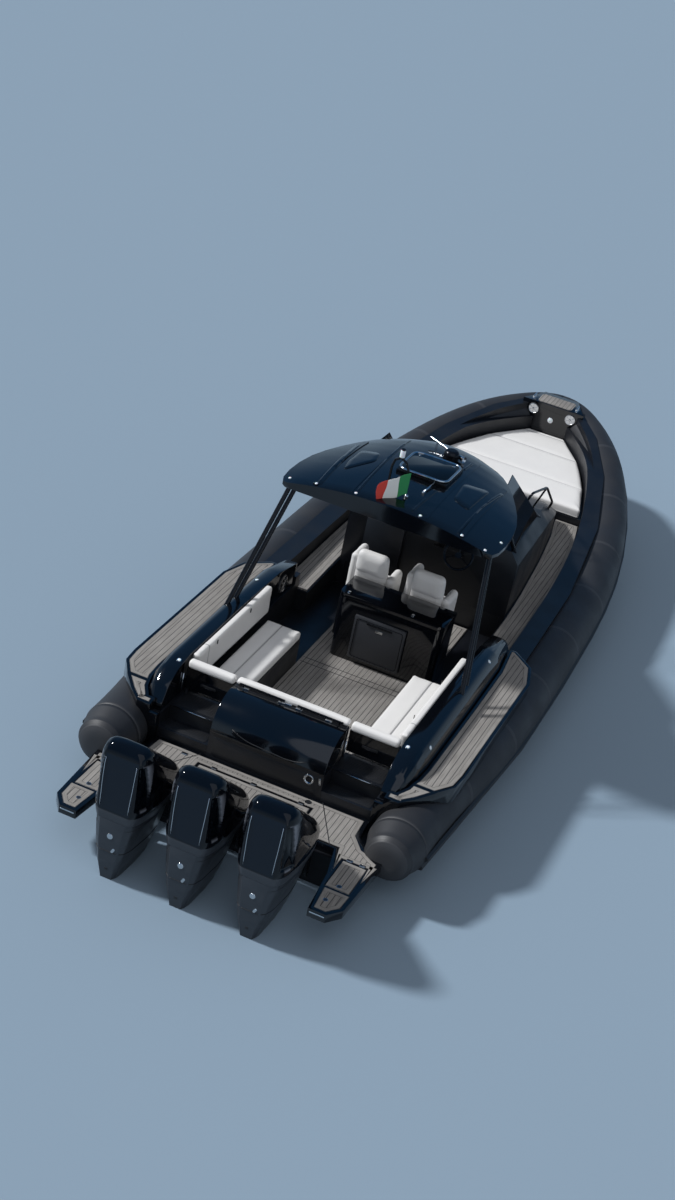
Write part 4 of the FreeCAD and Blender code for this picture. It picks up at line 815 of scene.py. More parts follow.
# The flag: a cloth of three plain upright bands, hung from the hoop's starboard leg by its hoist.
FLAG_TOP = (3.4, -0.098, 2.87)
FLAG_LONG = 0.36
FLAG_TALL = 0.24
u = np.linspace(0, 1, 41)[:, None]
w = np.linspace(0, 1, 25)[None, :]
wave = 0.018 * np.sin(2 * math.pi * (1.6 * u + 0.25 * w)) * u ** 0.7 + 0.010 * np.sin(9.0 * u - 5.0 * w) * u
drop = 0.15 * u ** 1.2 + 0.012 * np.sin(8 * u) * u
flag_at = np.stack(np.broadcast_arrays(
    FLAG_TOP[0] - 0.016 - 0.64 * FLAG_LONG * u, FLAG_TOP[1] + 0.74 * FLAG_LONG * u + wave,
    FLAG_TOP[2] - FLAG_TALL * w - drop), -1)
flag_at[..., 0] -= 0.6 * wave
cloth_flag, tree, out = blank("printed_flag_cloth")
uv_node = add(tree, "ShaderNodeUVMap", {"uv_map": "uv"})
parts = add(tree, "ShaderNodeSeparateXYZ", Vector=uv_node.outputs[0])
first = add(tree, "ShaderNodeMath", {"operation": "GREATER_THAN"}, i0=parts.outputs[0], i1=FLAG_LONG / 3)
second = add(tree, "ShaderNodeMath", {"operation": "GREATER_THAN"}, i0=parts.outputs[0],
             i1=2 * FLAG_LONG / 3)
bands = add(tree, "ShaderNodeMix", {"data_type": "RGBA"}, i0=first.outputs[0], i6=srgb("#2e8a52"),
            i7=srgb("#e4e4e0"))
bands = add(tree, "ShaderNodeMix", {"data_type": "RGBA"}, i0=second.outputs[0], i6=bands.outputs[2],
            i7=srgb("#cf4236"))
weave = add(tree, "ShaderNodeTexNoise", Vector=uv_node.outputs[0], Scale=900.0)
bump = add(tree, "ShaderNodeBump", Height=weave.outputs[0], Distance=0.0003, Strength=0.4)
shader = add(tree, "ShaderNodeBsdfPrincipled", Base_Color=bands.outputs[2], Roughness=0.8,
             Normal=bump.outputs[0])
tree.links.new(shader.outputs[0], out.inputs[0])
uv = np.stack(np.broadcast_arrays(u * FLAG_LONG, w * FLAG_TALL), -1)
flag = piece_of("flag", grid_form(flag_at, wrap_v=False, caps=()), "hull", cloth_flag, uv=uv)
thick = flag.modifiers.new("cloth_thickness", "SOLIDIFY")
thick.thickness = 0.0012

# Stern
# The stern unit has a dark panel with a round shower fitting, a dark rubber line under its curved lid that
# stands for the shade in its finger scoop, and a steel latch between the two rails. Gates and steps carry
# small hardware.
UNIT_FACE = 0.860
PANEL_OUT = 0.003
UNIT_TOP = 1.0505
LATCH_AT = (1.318, 0.03, UNIT_TOP)
RAIL_FOOT_X = 1.300
RAIL_FEET_Y = (0.49, 0.10, -0.09, -0.41)
# columns: y, z along the lip of the finger scoop
LID_SCOOP = ((0.40, 0.835), (0.31, 0.80), (0.20, 0.775), (0.0, 0.765), (-0.20, 0.755),
             (-0.32, 0.77), (-0.41, 0.805))
AFT = (-1, 0, 0)
piece_of("unit_panel", plate_form((UNIT_FACE, 0.0, 0.585), AFT, PORT, 1.14, 0.215, 0.03,
                                  PANEL_OUT), "hull", satin, sharp=40)
face_x = UNIT_FACE - PANEL_OUT
ring_at = np.array([face_x, -0.470, 0.640])
ring_rows = ((0.040, 0.0), (0.052, 0.001), (0.055, 0.006), (0.050, 0.012), (0.042, 0.010),
             (0.038, 0.003))
piece_of("unit_ring", turned(ring_rows, ring_at, AFT, 32), "hull", steel)
piece_of("unit_ring_core", domed(ring_at, AFT, 0.038, 0.006), "hull", anodised)
piece_of("unit_tab", plate_form((face_x, -0.585, 0.660), AFT, (0, 0.15, 1), 0.075, 0.022, 0.008,
                                0.008), "hull", steel, sharp=40)
# Painted shade: a dark rubber line along the lid stands for the shade in the finger scoop.
scoop = [landing("stern_lid", (0.2, y, z), FORE)[0] for y, z in LID_SCOOP]
piece_of("lid_scoop_shade_line", pipe_form(scoop, 0.006, UP, 0.05, count=8), "stern_lid", rubber)
piece_of("unit_latch", plate_form(LATCH_AT, UP, PORT, 0.075, 0.05, 0.01, 0.014), "hull",
         steel, sharp=40)
for k, y in enumerate(RAIL_FEET_Y):
    piece_of("rail_foot_%d" % k, plate_form((RAIL_FOOT_X, y, UNIT_TOP), UP, PORT, 0.07,
                                            0.034, 0.008, 0.010), "hull", steel, sharp=40)
GATE_FACE = 1.350
# Painted shade: a dark rubber plate on each gate's face stands for the shade inside its finger slot.
# columns: body, middle y, middle z of the finger slot
for name, y, z in (("gate_port", 0.90, 0.865), ("gate_starboard", -0.865, 0.885)):
    piece_of(name + "_slot", plate_form((GATE_FACE, y, z), AFT, PORT, 0.17, 0.034, 0.012,
                                        0.004), name, rubber, sharp=40)
    piece_of(name + "_slot_lip", pipe_form([(GATE_FACE - 0.006, y + 0.07, z - 0.012),
                                            (GATE_FACE - 0.006, y - 0.07, z - 0.012)], 0.003, FORE),
             name, anodised)
# columns: side, x, y, foot z, head z
for name, x, y, foot_z, head_z in (("port", 1.318, 1.170, 0.72, 0.95),
                                   ("starboard", 1.322, -0.625, 0.66, 0.895)):
    piece_of("gate_bar_" + name, pipe_form([(x, y, foot_z), (x, y, head_z)], 0.008, PORT),
             "hull", steel)

# Boarding steps: a ribbed rubber pad on each tread.
# columns: middle x, z, depth
STEP_PADS = ((1.235, 0.715, 0.26), (0.96, 0.560, 0.15))
STEP_Y = 0.888
STEP_WIDE = 0.46
STEP_RIB_WIDE = 0.42
STEP_RIB_PITCH = 0.022
STEP_EDGE_X = 1.056
STEP_EDGE_Z = 0.716
for sign, name in ((1, "port"), (-1, "starboard")):
    for k, (x, z, deep) in enumerate(STEP_PADS):
        ribs = [plate_form((x, sign * STEP_Y, z + 0.0005), UP, PORT, STEP_WIDE, deep, 0.02,
                           0.004)]
        count = int(deep / STEP_RIB_PITCH)
        for r in range(count):
            rib_x = x - deep / 2 + deep * (r + 0.5) / count
            ribs.append(plate_form((rib_x, sign * STEP_Y, z + 0.004), UP, PORT, STEP_RIB_WIDE,
                                   0.009, 0.004, 0.003))
        piece_of("step_pad_%s_%d" % (name, k), joined(ribs), "hull", rubber, sharp=40)
    edge_line = [(STEP_EDGE_X, sign * y, STEP_EDGE_Z) for y in (0.66, 1.12)]
    piece_of("step_edge_" + name, pipe_form(edge_line, 0.005, FORE), "hull", steel)

# Platform hardware: hinges along the hatch and the ladder lids, finger latches, deck eyes, the
# round fillers, and a steel strip along each lobe's end.
PLATFORM_Z = 0.450
LIFT = 0.0035
# columns: x, y of each hinge
DECK_HINGES = ((0.700, 0.447), (0.700, 0.018), (0.700, -0.490), (0.142, 1.235), (0.142, 1.365),
               (0.142, -1.235), (0.142, -1.365), (0.745, 0.790))
# columns: body, x, y, radius of each ring
DECK_RINGS = (("platform_hatch", 0.400, 0.03, 0.030), ("hull", 0.765, -0.54, 0.034),
              ("ladder_lid_port", -0.270, 1.30, 0.024), ("ladder_lid_starboard", -0.270, -1.30, 0.024),
              ("hull", -0.520, 1.27, 0.022), ("hull", -0.520, -1.27, 0.022))
for k, (x, y) in enumerate(DECK_HINGES):
    plates = [plate_form((x, y, PLATFORM_Z), UP, FORE, 0.042, 0.060, 0.008, 0.006),
              plate_form((x - 0.012, y, PLATFORM_Z + 0.004), UP, PORT, 0.060, 0.012, 0.0055,
                         0.008)]
    piece_of("deck_hinge_%d" % k, joined(plates), "hull", steel, sharp=40)
for k, (body, x, y, r) in enumerate(DECK_RINGS):
    at = (x, y, PLATFORM_Z)
    rows = ((r, 0.0), (r, LIFT), (0.86 * r, LIFT + 0.001), (0.72 * r, LIFT), (0.70 * r, 0.001))
    piece_of("deck_ring_%d" % k, turned(rows, at, UP, 28), body, steel, sharp=50)
    piece_of("deck_ring_core_%d" % k, disc(at, UP, 0.70 * r, LIFT - 0.001), body, rubber,
             sharp=40)
for sign, name in ((1, "port"), (-1, "starboard")):
    piece_of("lobe_strip_" + name, plate_form((-0.7195, sign * 1.275, 0.418), AFT, PORT, 0.15,
                                              0.014, 0.006, 0.006), "hull", steel, sharp=40)
    a, b = np.array([0.848, sign * 0.66, PLATFORM_Z]), np.array([0.262, sign * 0.98, PLATFORM_Z])
    piece_of("deck_joint_" + name, plate_form((a + b) / 2, UP, b - a, np.linalg.norm(b - a), 0.009,
                                              0.002, 0.0016, 0.0005), "hull", rubber)
for k, x in enumerate((3.29, 3.39)):
    piece_of("sole_joint_%d" % k, plate_form((x, 0, 0.350), UP, PORT, 1.28, 0.009, 0.002, 0.0016,
                                             0.0005), "hull", rubber)

# Courtesy lights on the coamings; the one at 1.55, -1.40 is a painted highlight, a lens put where the
# coaming only catches a glint. columns: x, y
COAMING_LIGHTS_AND_GLINT = ((1.30, 1.235), (1.32, -1.235), (1.55, -1.40), (3.32, 1.31), (3.46, -1.36))
for k, (x, y) in enumerate(COAMING_LIGHTS_AND_GLINT):
    at, facing = landing("coamings", (x, y, 2.0), DOWN)
    piece_of("coaming_light_ring_%d" % k, disc(at, facing, 0.026, 0.004), "hull", steel, sharp=40)
    piece_of("coaming_light_%d" % k, domed(at + 0.004 * facing, facing, 0.018, 0.005), "hull", lens)

# Upholstery
# Foam pads under white vinyl, welded and sewn in panels. Each starts as a box with rounded
# edges, is blown up by a cloth simulation that holds its seams and base, and is then subdivided.
SEAM_STEPS = (-0.014, -0.005, 0.0, 0.005, 0.014)
SEAM_DEEP = 0.006
PAD_SHRINK = 0.006
PUFF_STEPS = 20


def stations(half, radius, cell, seams):
    """Coordinates from -half to half: close together at the ends and about each seam."""
    ends = radius * np.array([0.0, 0.3, 0.65, 1.0])
    inner = half - radius
    middle = np.linspace(-inner, inner, max(2, int(round(2 * inner / cell)) + 1))
    for seam in seams:
        middle = middle[np.abs(middle - seam) > 0.6 * cell + 0.014]
        middle = np.append(middle, seam + np.array(SEAM_STEPS))
    together = np.concatenate([ends - half, np.clip(middle, -inner, inner), half - ends])
    return np.unique(np.round(together, 5))


def box_lattice(xs, ys, zs):
    """Points and quads of the six sides of a lattice over three sets of coordinates."""
    outside = np.ones((len(xs), len(ys), len(zs)), bool)
    outside[1:-1, 1:-1, 1:-1] = False
    ids = np.full(outside.shape, -1)
    ids[outside] = np.arange(outside.sum())
    points = np.stack(np.meshgrid(xs, ys, zs, indexing="ij"), -1)[outside]
    quads = []
    for axis in range(3):
        for end in (0, -1):
            flat_ids = np.take(ids, end, axis=axis)
            quads.append(np.stack([flat_ids[:-1, :-1], flat_ids[1:, :-1], flat_ids[1:, 1:],
                                   flat_ids[:-1, 1:]], -1).reshape(-1, 4))
    return points, np.concatenate(quads)


def rounded_block(size, radius, cell=1.0, seams=((), (), ()), at=(0.0, 0.0, 0.0)):
    """A box whose edges are rounded: each point is drawn onto a sphere of the radius about the
    nearest point of a smaller box. Also gives the outward directions and the nearness to a seam."""
    half = np.array(size, float) / 2
    sets = [stations(h, radius, cell, s) for h, s in zip(half, seams)]
    points, quads = box_lattice(*sets)
    core = np.clip(points, radius - half, half - radius)
    out = points - core
    out /= np.linalg.norm(out, axis=1)[:, None]
    near = np.zeros(len(points))
    for axis, seam_set in enumerate(seams):
        for seam in seam_set:
            near = np.maximum(near, np.clip(1 - np.abs(points[:, axis] - seam) / 0.012, 0, 1))
    return core + radius * out + np.array(at), quads.tolist(), out, near


def stuffed(points, faces, held, cap, pressure):
    """Blows a closed form up from inside by a cloth simulation; held is 1 where a point stays,
    and no point moves further than cap."""
    mesh = bpy.data.meshes.new("pad_work")
    mesh.from_pydata(points.tolist(), [], faces)
    work = bmesh.new()
    work.from_mesh(mesh)
    bmesh.ops.recalc_face_normals(work, faces=work.faces)
    work.to_mesh(mesh)
    work.free()
    sack = bpy.data.objects.new("pad_work", mesh)
    bpy.context.collection.objects.link(sack)
    group = sack.vertex_groups.new(name="held")
    group.add([int(k) for k in np.flatnonzero(held > 0.5)], 1.0, "REPLACE")
    cloth = sack.modifiers.new("cloth", "CLOTH")
    cloth.settings.quality = 4
    cloth.settings.mass = 0.3
    cloth.settings.tension_stiffness = 12.0
    cloth.settings.compression_stiffness = 12.0
    cloth.settings.use_pressure = True
    cloth.settings.uniform_pressure_force = pressure
    cloth.settings.vertex_group_mass = "held"
    cloth.settings.effector_weights.gravity = 0.0
    cloth.point_cache.frame_end = PUFF_STEPS
    for step in range(1, PUFF_STEPS + 1):
        bpy.context.scene.frame_set(step)
    shown = sack.evaluated_get(bpy.context.evaluated_depsgraph_get()).to_mesh()
    moved = np.empty(len(points) * 3)
    shown.vertices.foreach_get("co", moved)
    shift = moved.reshape(-1, 3) - points
    far = np.linalg.norm(shift, axis=1)[:, None]
    bpy.data.objects.remove(sack)
    bpy.context.scene.frame_set(1)
    return points + shift * np.minimum(1.0, cap / np.maximum(far, 1e-9))


# White vinyl: clean soft white with a fine pebbled grain; the joints between panels are greyer.
vinyl, tree, out = blank("white_marine_vinyl")
place = tree.nodes.new("ShaderNodeTexCoord")
joint = add(tree, "ShaderNodeAttribute", {"attribute_name": "seam"})
pebble = add(tree, "ShaderNodeTexVoronoi", Vector=place.outputs["Object"], Scale=650.0)
creases = add(tree, "ShaderNodeTexNoise", Vector=place.outputs["Object"], Scale=14.0, Detail=3.0)
height = add(tree, "ShaderNodeMath", {"operation": "MULTIPLY_ADD"}, i0=creases.outputs[0], i1=5.0,
             i2=pebble.outputs[0])
bump = add(tree, "ShaderNodeBump", Height=height.outputs[0], Distance=0.0005, Strength=0.5)
clean = speckle(tree, "#d8d7d6", "#e0dfdd", 0.25)
shade = add(tree, "ShaderNodeMix", {"data_type": "RGBA"}, i0=joint.outputs["Fac"], i6=clean,
            i7=srgb("#6f7074"))
shader = add(tree, "ShaderNodeBsdfPrincipled", Base_Color=shade.outputs[2], Roughness=0.48, IOR=1.45,
             Normal=bump.outputs[0])
tree.links.new(shader.outputs[0], out.inputs[0])


def pad(name, body, low, high, radius, cell=0.03, seams=((), (), ()), cap=0.008, stands_for=(),
        shape=None, lean=0.0, pressure=4.0, based=True):
    """A cushion between two corners. shape bends its points, in metres from its middle; lean
    tips its top aft, in degrees. The base stays where it rests."""
    low, high = np.array(low, float), np.array(high, float)
    size = high - low - 2 * PAD_SHRINK
    centre = (low + high) / 2
    points, faces, out, near = rounded_block(size, radius, cell, seams)
    if shape is not None:
        points = shape(points)
    held = np.maximum(near > 0.05, (out[:, 2] < -0.7) & based)
    points = stuffed(points, faces, held, cap, pressure)
    points = points - out * (SEAM_DEEP * near)[:, None]
    if based:
        points[:, 2] = np.maximum(points[:, 2], -size[2] / 2)
        points[:, 2] -= PAD_SHRINK
    a = math.radians(lean)
    turn = np.array([[math.cos(a), 0, -math.sin(a)], [0, 1, 0], [math.sin(a), 0, math.cos(a)]])
    made = piece_of(name, (points @ turn.T + centre, faces), body, vinyl, stands_for,
                    values={"seam": near ** 2})
    smooth = made.modifiers.new("subdivision", "SUBSURF")
    smooth.levels = smooth.render_levels = 1
    return made


def bolster_round(points):
    """The top rail's section: flat sides below, drawn in above its middle to a half round."""
    points = points.copy()
    half = points[:, 2].max()
    share = np.clip(points[:, 2] / half, 0, 1)
    points[:, 0] *= 1 - 0.22 * share ** 2
    return points


# Stern and gate bolsters lie end to end across the cockpit, jointed at the gates.
for name, body in (("stern_bolster", "hull"), ("gate_bolster_port", "gate_port"),
                   ("gate_bolster_starboard", "gate_starboard")):
    low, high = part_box(name)
    pad(name + "_pad", body, low, high, 0.03, 0.03, stands_for=(name,), shape=bolster_round,
        cap=0.006)

# Sofas: a seat cushion in two panels with a joint along it, and a tall back panel along the
# coaming, whose finger slots follow with the cockpit fittings.
SOFA_DEEP = 0.428
SOFA_BACK_THICK = 0.085
for name, sign in (("port", 1.0), ("starboard", -1.0)):
    low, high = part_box("sofa_cushions")
    y0, y1 = sorted((sign * high[1], sign * (high[1] - SOFA_DEEP)))
    pad("sofa_cushion_" + name, "hull", (low[0], y0, low[2]), (high[0], y1, high[2]), 0.028, 0.032,
        seams=((), (0.02 * sign,), ()), cap=0.007,
        stands_for=("sofa_cushions",) if sign > 0 else ())
    low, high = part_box("sofa_backs")
    y0, y1 = sorted((sign * high[1], sign * (high[1] - SOFA_BACK_THICK)))
    pad("sofa_back_" + name, "hull", (low[0], y0, low[2]), (high[0], y1, high[2]), 0.026, 0.032,
        seams=((-0.66,), (), ()), cap=0.006, stands_for=("sofa_backs",) if sign > 0 else ())

# Helm seats: two moulded bucket seats with side wings and a separate rounded headrest.
SEAT_AFT = 4.110
SEAT_BASE = 0.8605


def drawn_in(amount, top=True):
    """A shape that narrows across by a share towards its top, or towards its foot."""
    def bend(points):
        """Widths times 1 - amount * share squared, share running from 0 to 1 along the height."""
        points = points.copy()
        half = points[:, 2].max()
        share = np.clip(points[:, 2] / half * (1 if top else -1), -1, 1) * 0.5 + 0.5
        points[:, 1] *= 1 - amount * share ** 2
        return points
    return bend


# columns: part, aft x, forward x, half width, offset across, foot z, head z, radius, lean, narrowing
SEAT_PARTS = (
    ("cushion", 0.10, 0.560, 0.215, 0.0, 0.0, 0.14, 0.040, 0, 0.04),
    ("back", 0.030, 0.160, 0.205, 0.0, 0.03, 0.460, 0.060, 4, 0.05),
    ("wing_outer", 0.050, 0.42, 0.046, 0.222, 0.0, 0.500, 0.043, 0, 0.0),
    ("wing_inner", 0.050, 0.42, 0.046, -0.222, 0.0, 0.330, 0.043, 0, 0.0),
    ("headrest", 0.004, 0.140, 0.195, 0.0, 0.290, 0.590, 0.066, 3, 0.06),
)
for seat, middle in (("port", 0.320), ("starboard", -0.350)):
    for part, aft, fore, half, across, foot, head, radius, lean, narrow in SEAT_PARTS:
        first = seat == "port" and part == "cushion"
        pad("helm_%s_%s" % (part, seat), "hull",
            (SEAT_AFT + aft, middle + across - half, SEAT_BASE + foot),
            (SEAT_AFT + fore, middle + across + half, SEAT_BASE + head), radius, 0.022, cap=0.008,
            stands_for=("helm_seats",) if first else (), shape=drawn_in(narrow), lean=lean,
            based=part == "cushion")

# Sunpad: one broad pad on the foredeck, in three rows of panels, cut to the collar's line.
outline = top_loops("sunpad")[0]
port_side = outline[outline[:, 1] > 0]
port_side = port_side[np.argsort(port_side[:, 0])]
low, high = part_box("sunpad")
PAD_MIDDLE = (low[0] + high[0]) / 2


def pad_width(x):
    """Half width of the sunpad at a place along the boat, on the collar's line."""
    return np.interp(x, port_side[:, 0], port_side[:, 1]) - 0.012


def sunpad_plan(points):
    """Across, the lattice is scaled to the pad's width there."""
    points = points.copy()
    points[:, 1] *= pad_width(points[:, 0] + PAD_MIDDLE) / high[1]
    return points


cross_seams = tuple(x - PAD_MIDDLE for x in (8.63, 9.42, 9.93))
pad("sunpad_cover", "hull", low, high, 0.035, 0.042, seams=(cross_seams, (), ()), cap=0.012,
    stands_for=("sunpad",), shape=sunpad_plan, pressure=5.0)

# Cockpit fittings
# Finger slots in the sofas' backs, dark rubber plates that stand for the shade in them; latches on the
# galley lid, a bare plate on the fridge, and round loudspeakers with spoked grilles, which the bow locker
# has too.
BACK_FACE_Y = 1.0895
BACK_SLOT_Z = 1.075
STARBOARD = (0, -1, 0)
# Painted shade: dark rubber plates stand for the shade in the finger slots.
for k, (x, sign) in enumerate(((2.70, 1), (1.89, 1), (2.70, -1), (1.89, -1))):
    piece_of("back_slot_%d" % k, plate_form((x, sign * BACK_FACE_Y, BACK_SLOT_Z), (0, -sign, 0),
                                            UP, 0.05, 0.018, 0.008, 0.004),
             "hull", rubber, sharp=40)
low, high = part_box("galley_lid")
for k, y in enumerate((0.36, -0.39)):
    piece_of("galley_latch_%d" % k, plate_form((low[0] + 0.035, y, high[2]), UP, FORE, 0.05,
                                               0.03, 0.008, 0.012), "galley_lid", steel, sharp=40)
low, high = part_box("fridge_door")
FRIDGE_FACE = low[0]
middle_y = (low[1] + high[1]) / 2
RIM_IN = 0.03
rim = [(FRIDGE_FACE - 0.001, y, z) for y, z in (
    (high[1] - RIM_IN, high[2] - RIM_IN), (low[1] + RIM_IN, high[2] - RIM_IN),
    (low[1] + RIM_IN, low[2] + RIM_IN), (high[1] - RIM_IN, low[2] + RIM_IN))]
piece_of("fridge_rim", pipe_form(rim, 0.004, FORE, 0.03, closed=True, count=8), "fridge_door",
         anodised)
piece_of("fridge_plate", plate_form((FRIDGE_FACE, middle_y, high[2] - 0.11), AFT, PORT, 0.085,
                                    0.032, 0.004, 0.003), "fridge_door", steel, sharp=40)
piece_of("fridge_grip", plate_form((FRIDGE_FACE, middle_y, high[2] - 0.055), AFT, PORT, 0.30,
                                   0.018, 0.008, 0.010), "fridge_door", anodised, sharp=40)

# Speaker plastic: graphite moulding behind the bright spokes.
graphite, tree, out = blank("graphite_speaker_plastic")
shader = add(tree, "ShaderNodeBsdfPrincipled", Base_Color=speckle(tree, "#26282c", "#303237", 0.02),
             Roughness=0.5, Normal=finish_ripple(tree, 0.002, 0.0001, 0.4))
tree.links.new(shader.outputs[0], out.inputs[0])
paint_node("fridge_door", graphite, 0.012)
SPOKES = 6
# columns: name, place on the wall, the way it faces, radius
SPEAKERS = (
    ("bow_port", (10.0296, 0.262, 1.242), AFT, 0.074),
    ("bow_starboard", (10.0296, -0.262, 1.242), AFT, 0.074),
    ("side_port", (3.800, 1.1796, 0.880), STARBOARD, 0.110),
    ("side_starboard", (3.800, -1.1796, 0.880), PORT, 0.110),
)
for name, at, facing, r in SPEAKERS:
    at, facing = np.array(at), np.array(facing, float)
    a = np.cross(facing, UP)
    dish = turned(((r, -0.001), (r, 0.008), (0.93 * r, 0.013), (0.84 * r, 0.009), (0.78 * r, 0.004),
                   (0.35 * r, 0.002), (0.30 * r, 0.009), (0.12 * r, 0.012)), at, facing, 40)
    piece_of("speaker_" + name, dish, "hull", graphite,
             ("speakers",) if name == "bow_port" else (), sharp=40)
    spokes = [turned(((0.90 * r, 0.010), (0.95 * r, 0.0135), (0.88 * r, 0.0145), (0.84 * r, 0.011)), at,
                     facing, 40)]
    for k in range(SPOKES):
        t = math.pi * (2 * k + 1) / SPOKES
        ray = math.cos(t) * a + math.sin(t) * np.array([0, 0, 1.0])
        spokes.append(plate_form(at + 0.55 * r * ray, facing, ray, 0.70 * r, 0.10 * r, 0.04 * r, 0.013,
                                 sunk=-0.008))
    piece_of("speaker_grille_" + name, joined(spokes), "hull", steel, sharp=40)
    piece_of("speaker_hub_" + name, domed(at + 0.009 * facing, facing, 0.17 * r, 0.006), "hull", steel)

# Helm: two dark displays and a three-lever throttle on the binnacle.
DASH_X = 5.2500
for k, y in enumerate((-0.20, -0.56)):
    piece_of("display_%d" % k, plate_form((DASH_X, y, 1.475), AFT, PORT, 0.30, 0.19, 0.012,
                                          0.008), "hull", tinted, sharp=40)
THROTTLE = np.array((5.245, -0.10, 1.30))
piece_of("throttle_base", plate_form(THROTTLE, AFT, UP, 0.12, 0.13, 0.02, 0.03), "hull",
         anodised, sharp=40)
for k in range(3):
    y = THROTTLE[1] + 0.038 * (k - 1)
    lever = [(THROTTLE[0] - 0.02, y, THROTTLE[2]), (THROTTLE[0] - 0.09, y, THROTTLE[2] + 0.05)]
    piece_of("throttle_lever_%d" % k, pipe_form(lever, 0.006, PORT), "hull", steel)
    piece_of("throttle_knob_%d" % k, domed(lever[1], (-0.81, 0, 0.58), 0.014, 0.02), "hull", anodised)

# Grab rails from the windscreen's foot down the console's side, one each side.
RAIL_LINE = ((6.18, 0.80, 1.81), (6.84, 0.82, 1.64), (7.36, 0.83, 1.24))
for sign, name in ((1, "port"), (-1, "starboard")):
    rail = [np.array((x, sign * y, z)) for x, y, z in RAIL_LINE]
    feet = [landing("console", at, (0, -0.35 * sign, -1)) for at in rail]
    ends = [feet[0][0]] + rail + [feet[-1][0]]
    forms = [pipe_form(ends, 0.015, PORT, 0.07), pipe_form([feet[1][0], rail[1]], 0.012, PORT)]
    forms += [disc(at, facing, 0.028, 0.008) for at, facing in feet]
    piece_of("grab_rail_" + name, joined(forms), "hull", anodised, sharp=60)

# Bow
# The locker's top carries a step of planks, with rounded corners; beside it stand cleats, and a
# small lamp looks aft from its face.
LOCKER_Z = 1.352
piece_of("bow_step", plate_form((10.195, 0.0, LOCKER_Z), UP, FORE, 0.275, 0.48, 0.05, 0.010),
         "hull", teak, sharp=40)
piece_of("bow_lamp_ring", disc((10.030, 0.0, 1.143), AFT, 0.040, 0.006), "hull", steel,
         sharp=40)
piece_of("bow_lamp", domed((10.024, 0.0, 1.143), AFT, 0.030, 0.008), "hull", lens)
for sign, name in ((1, "port"), (-1, "starboard")):
    x, y = 10.13, sign * 0.305
    cleat = [pipe_form([(x - 0.085, y, LOCKER_Z + 0.040), (x + 0.085, y, LOCKER_Z + 0.040)], 0.010, UP),
             disc((x - 0.03, y, LOCKER_Z), UP, 0.012, 0.038),
             disc((x + 0.03, y, LOCKER_Z), UP, 0.012, 0.038),
             plate_form((x, y, LOCKER_Z), UP, FORE, 0.12, 0.04, 0.018, 0.004)]
    piece_of("bow_cleat_" + name, joined(cleat), "hull", steel, sharp=50)

# Outboard engines
# Each cowl is a lacquered shell: high at its rear, sloping down forward over the powerhead, with
# a flat rear panel between two thin steel lines, which stand in for the glints along its edges as a painted
# highlight, and a deep air scoop down each rear corner. The lower cowl is satin graphite.
# columns: height, front x, rear x, half width, share of the rear face that is flat
COWL = np.array([
    (0.6652, 0.005, -0.925, 0.262, 0.56),
    (0.760, 0.024, -0.941, 0.282, 0.56),
    (0.840, 0.015, -0.945, 0.287, 0.57),
    (0.930, -0.070, -0.945, 0.286, 0.58),
    (1.060, -0.235, -0.944, 0.281, 0.61),
    (1.180, -0.395, -0.941, 0.271, 0.64),
    (1.290, -0.545, -0.934, 0.256, 0.68),
    (1.360, -0.630, -0.918, 0.238, 0.70),
    (1.410, -0.690, -0.892, 0.208, 0.66),
    (1.440, -0.735, -0.865, 0.160, 0.55),
    (1.452, -0.765, -0.840, 0.095, 0.45),
])
PANEL_Z = (0.775, 1.352)
SCOOP_Z = (0.840, 1.315)
SCOOP_DEEP = 0.024
CREASE_Z = 0.760
ENGINE_SPACING = 0.720
BEHIND_LEG = -1.6
SEAM_X = -0.56
SEAM_Z = 0.330

# Lacquered engine paint: near black with blue in it, under a thick polished clear coat. The
# panel and the scoops' insides are picked out by attributes on the cowl. The insides are painted
# darker as shade, and a lip round each scoop is painted light grey as a highlight.
lacquer, tree, out = blank("lacquered_engine_cowl")
scoop_shade_node = add(tree, "ShaderNodeAttribute", {"attribute_name": "scoop"})
lip_highlight_node = add(tree, "ShaderNodeAttribute", {"attribute_name": "lip"})
below = add(tree, "ShaderNodeAttribute", {"attribute_name": "lower"})
face_of = add(tree, "ShaderNodeAttribute", {"attribute_name": "panel"})
base = speckle(tree, "#06080d", "#090c12", 0.2)
base = add(tree, "ShaderNodeMix", {"data_type": "RGBA"}, i0=face_of.outputs["Fac"], i6=base,
           i7=srgb("#07121f"))
# Painted highlight: the lips round the scoops are light grey, as a facet catching the sky.
base = add(tree, "ShaderNodeMix", {"data_type": "RGBA"}, i0=lip_highlight_node.outputs["Fac"], i6=base.outputs[2],
           i7=srgb("#6d7078"))
# Painted shade: the scoops' insides are darkened.
base = add(tree, "ShaderNodeMix", {"data_type": "RGBA"}, i0=scoop_shade_node.outputs["Fac"], i6=base.outputs[2],
           i7=srgb("#03060b"))
base = add(tree, "ShaderNodeMix", {"data_type": "RGBA"}, i0=below.outputs["Fac"], i6=base.outputs[2],
           i7=srgb("#3a3e44"))
rough = add(tree, "ShaderNodeMapRange", Value=below.outputs["Fac"], To_Min=0.07, To_Max=0.34)
shader = add(tree, "ShaderNodeBsdfPrincipled", Base_Color=base.outputs[2], Roughness=rough.outputs[0],
             IOR=1.5, Specular_IOR_Level=0.36, Normal=finish_ripple(tree, 0.3, 0.0006, 0.25))
tree.links.new(shader.outputs[0], out.inputs[0])
# Satin graphite paint with fine metal flake, on the lower cowl and the leg.
flake, tree, out = blank("satin_graphite_paint")
shader = add(tree, "ShaderNodeBsdfPrincipled", Base_Color=speckle(tree, "#34383e", "#3f444a", 0.002),
             Metallic=0.35, Roughness=drift(tree, 0.30, 0.38, 0.3),
             Normal=finish_ripple(tree, 0.25, 0.0006, 0.3))
tree.links.new(shader.outputs[0], out.inputs[0])
for n in "123":
    paint_node("leg_" + n, flake, 0.010)


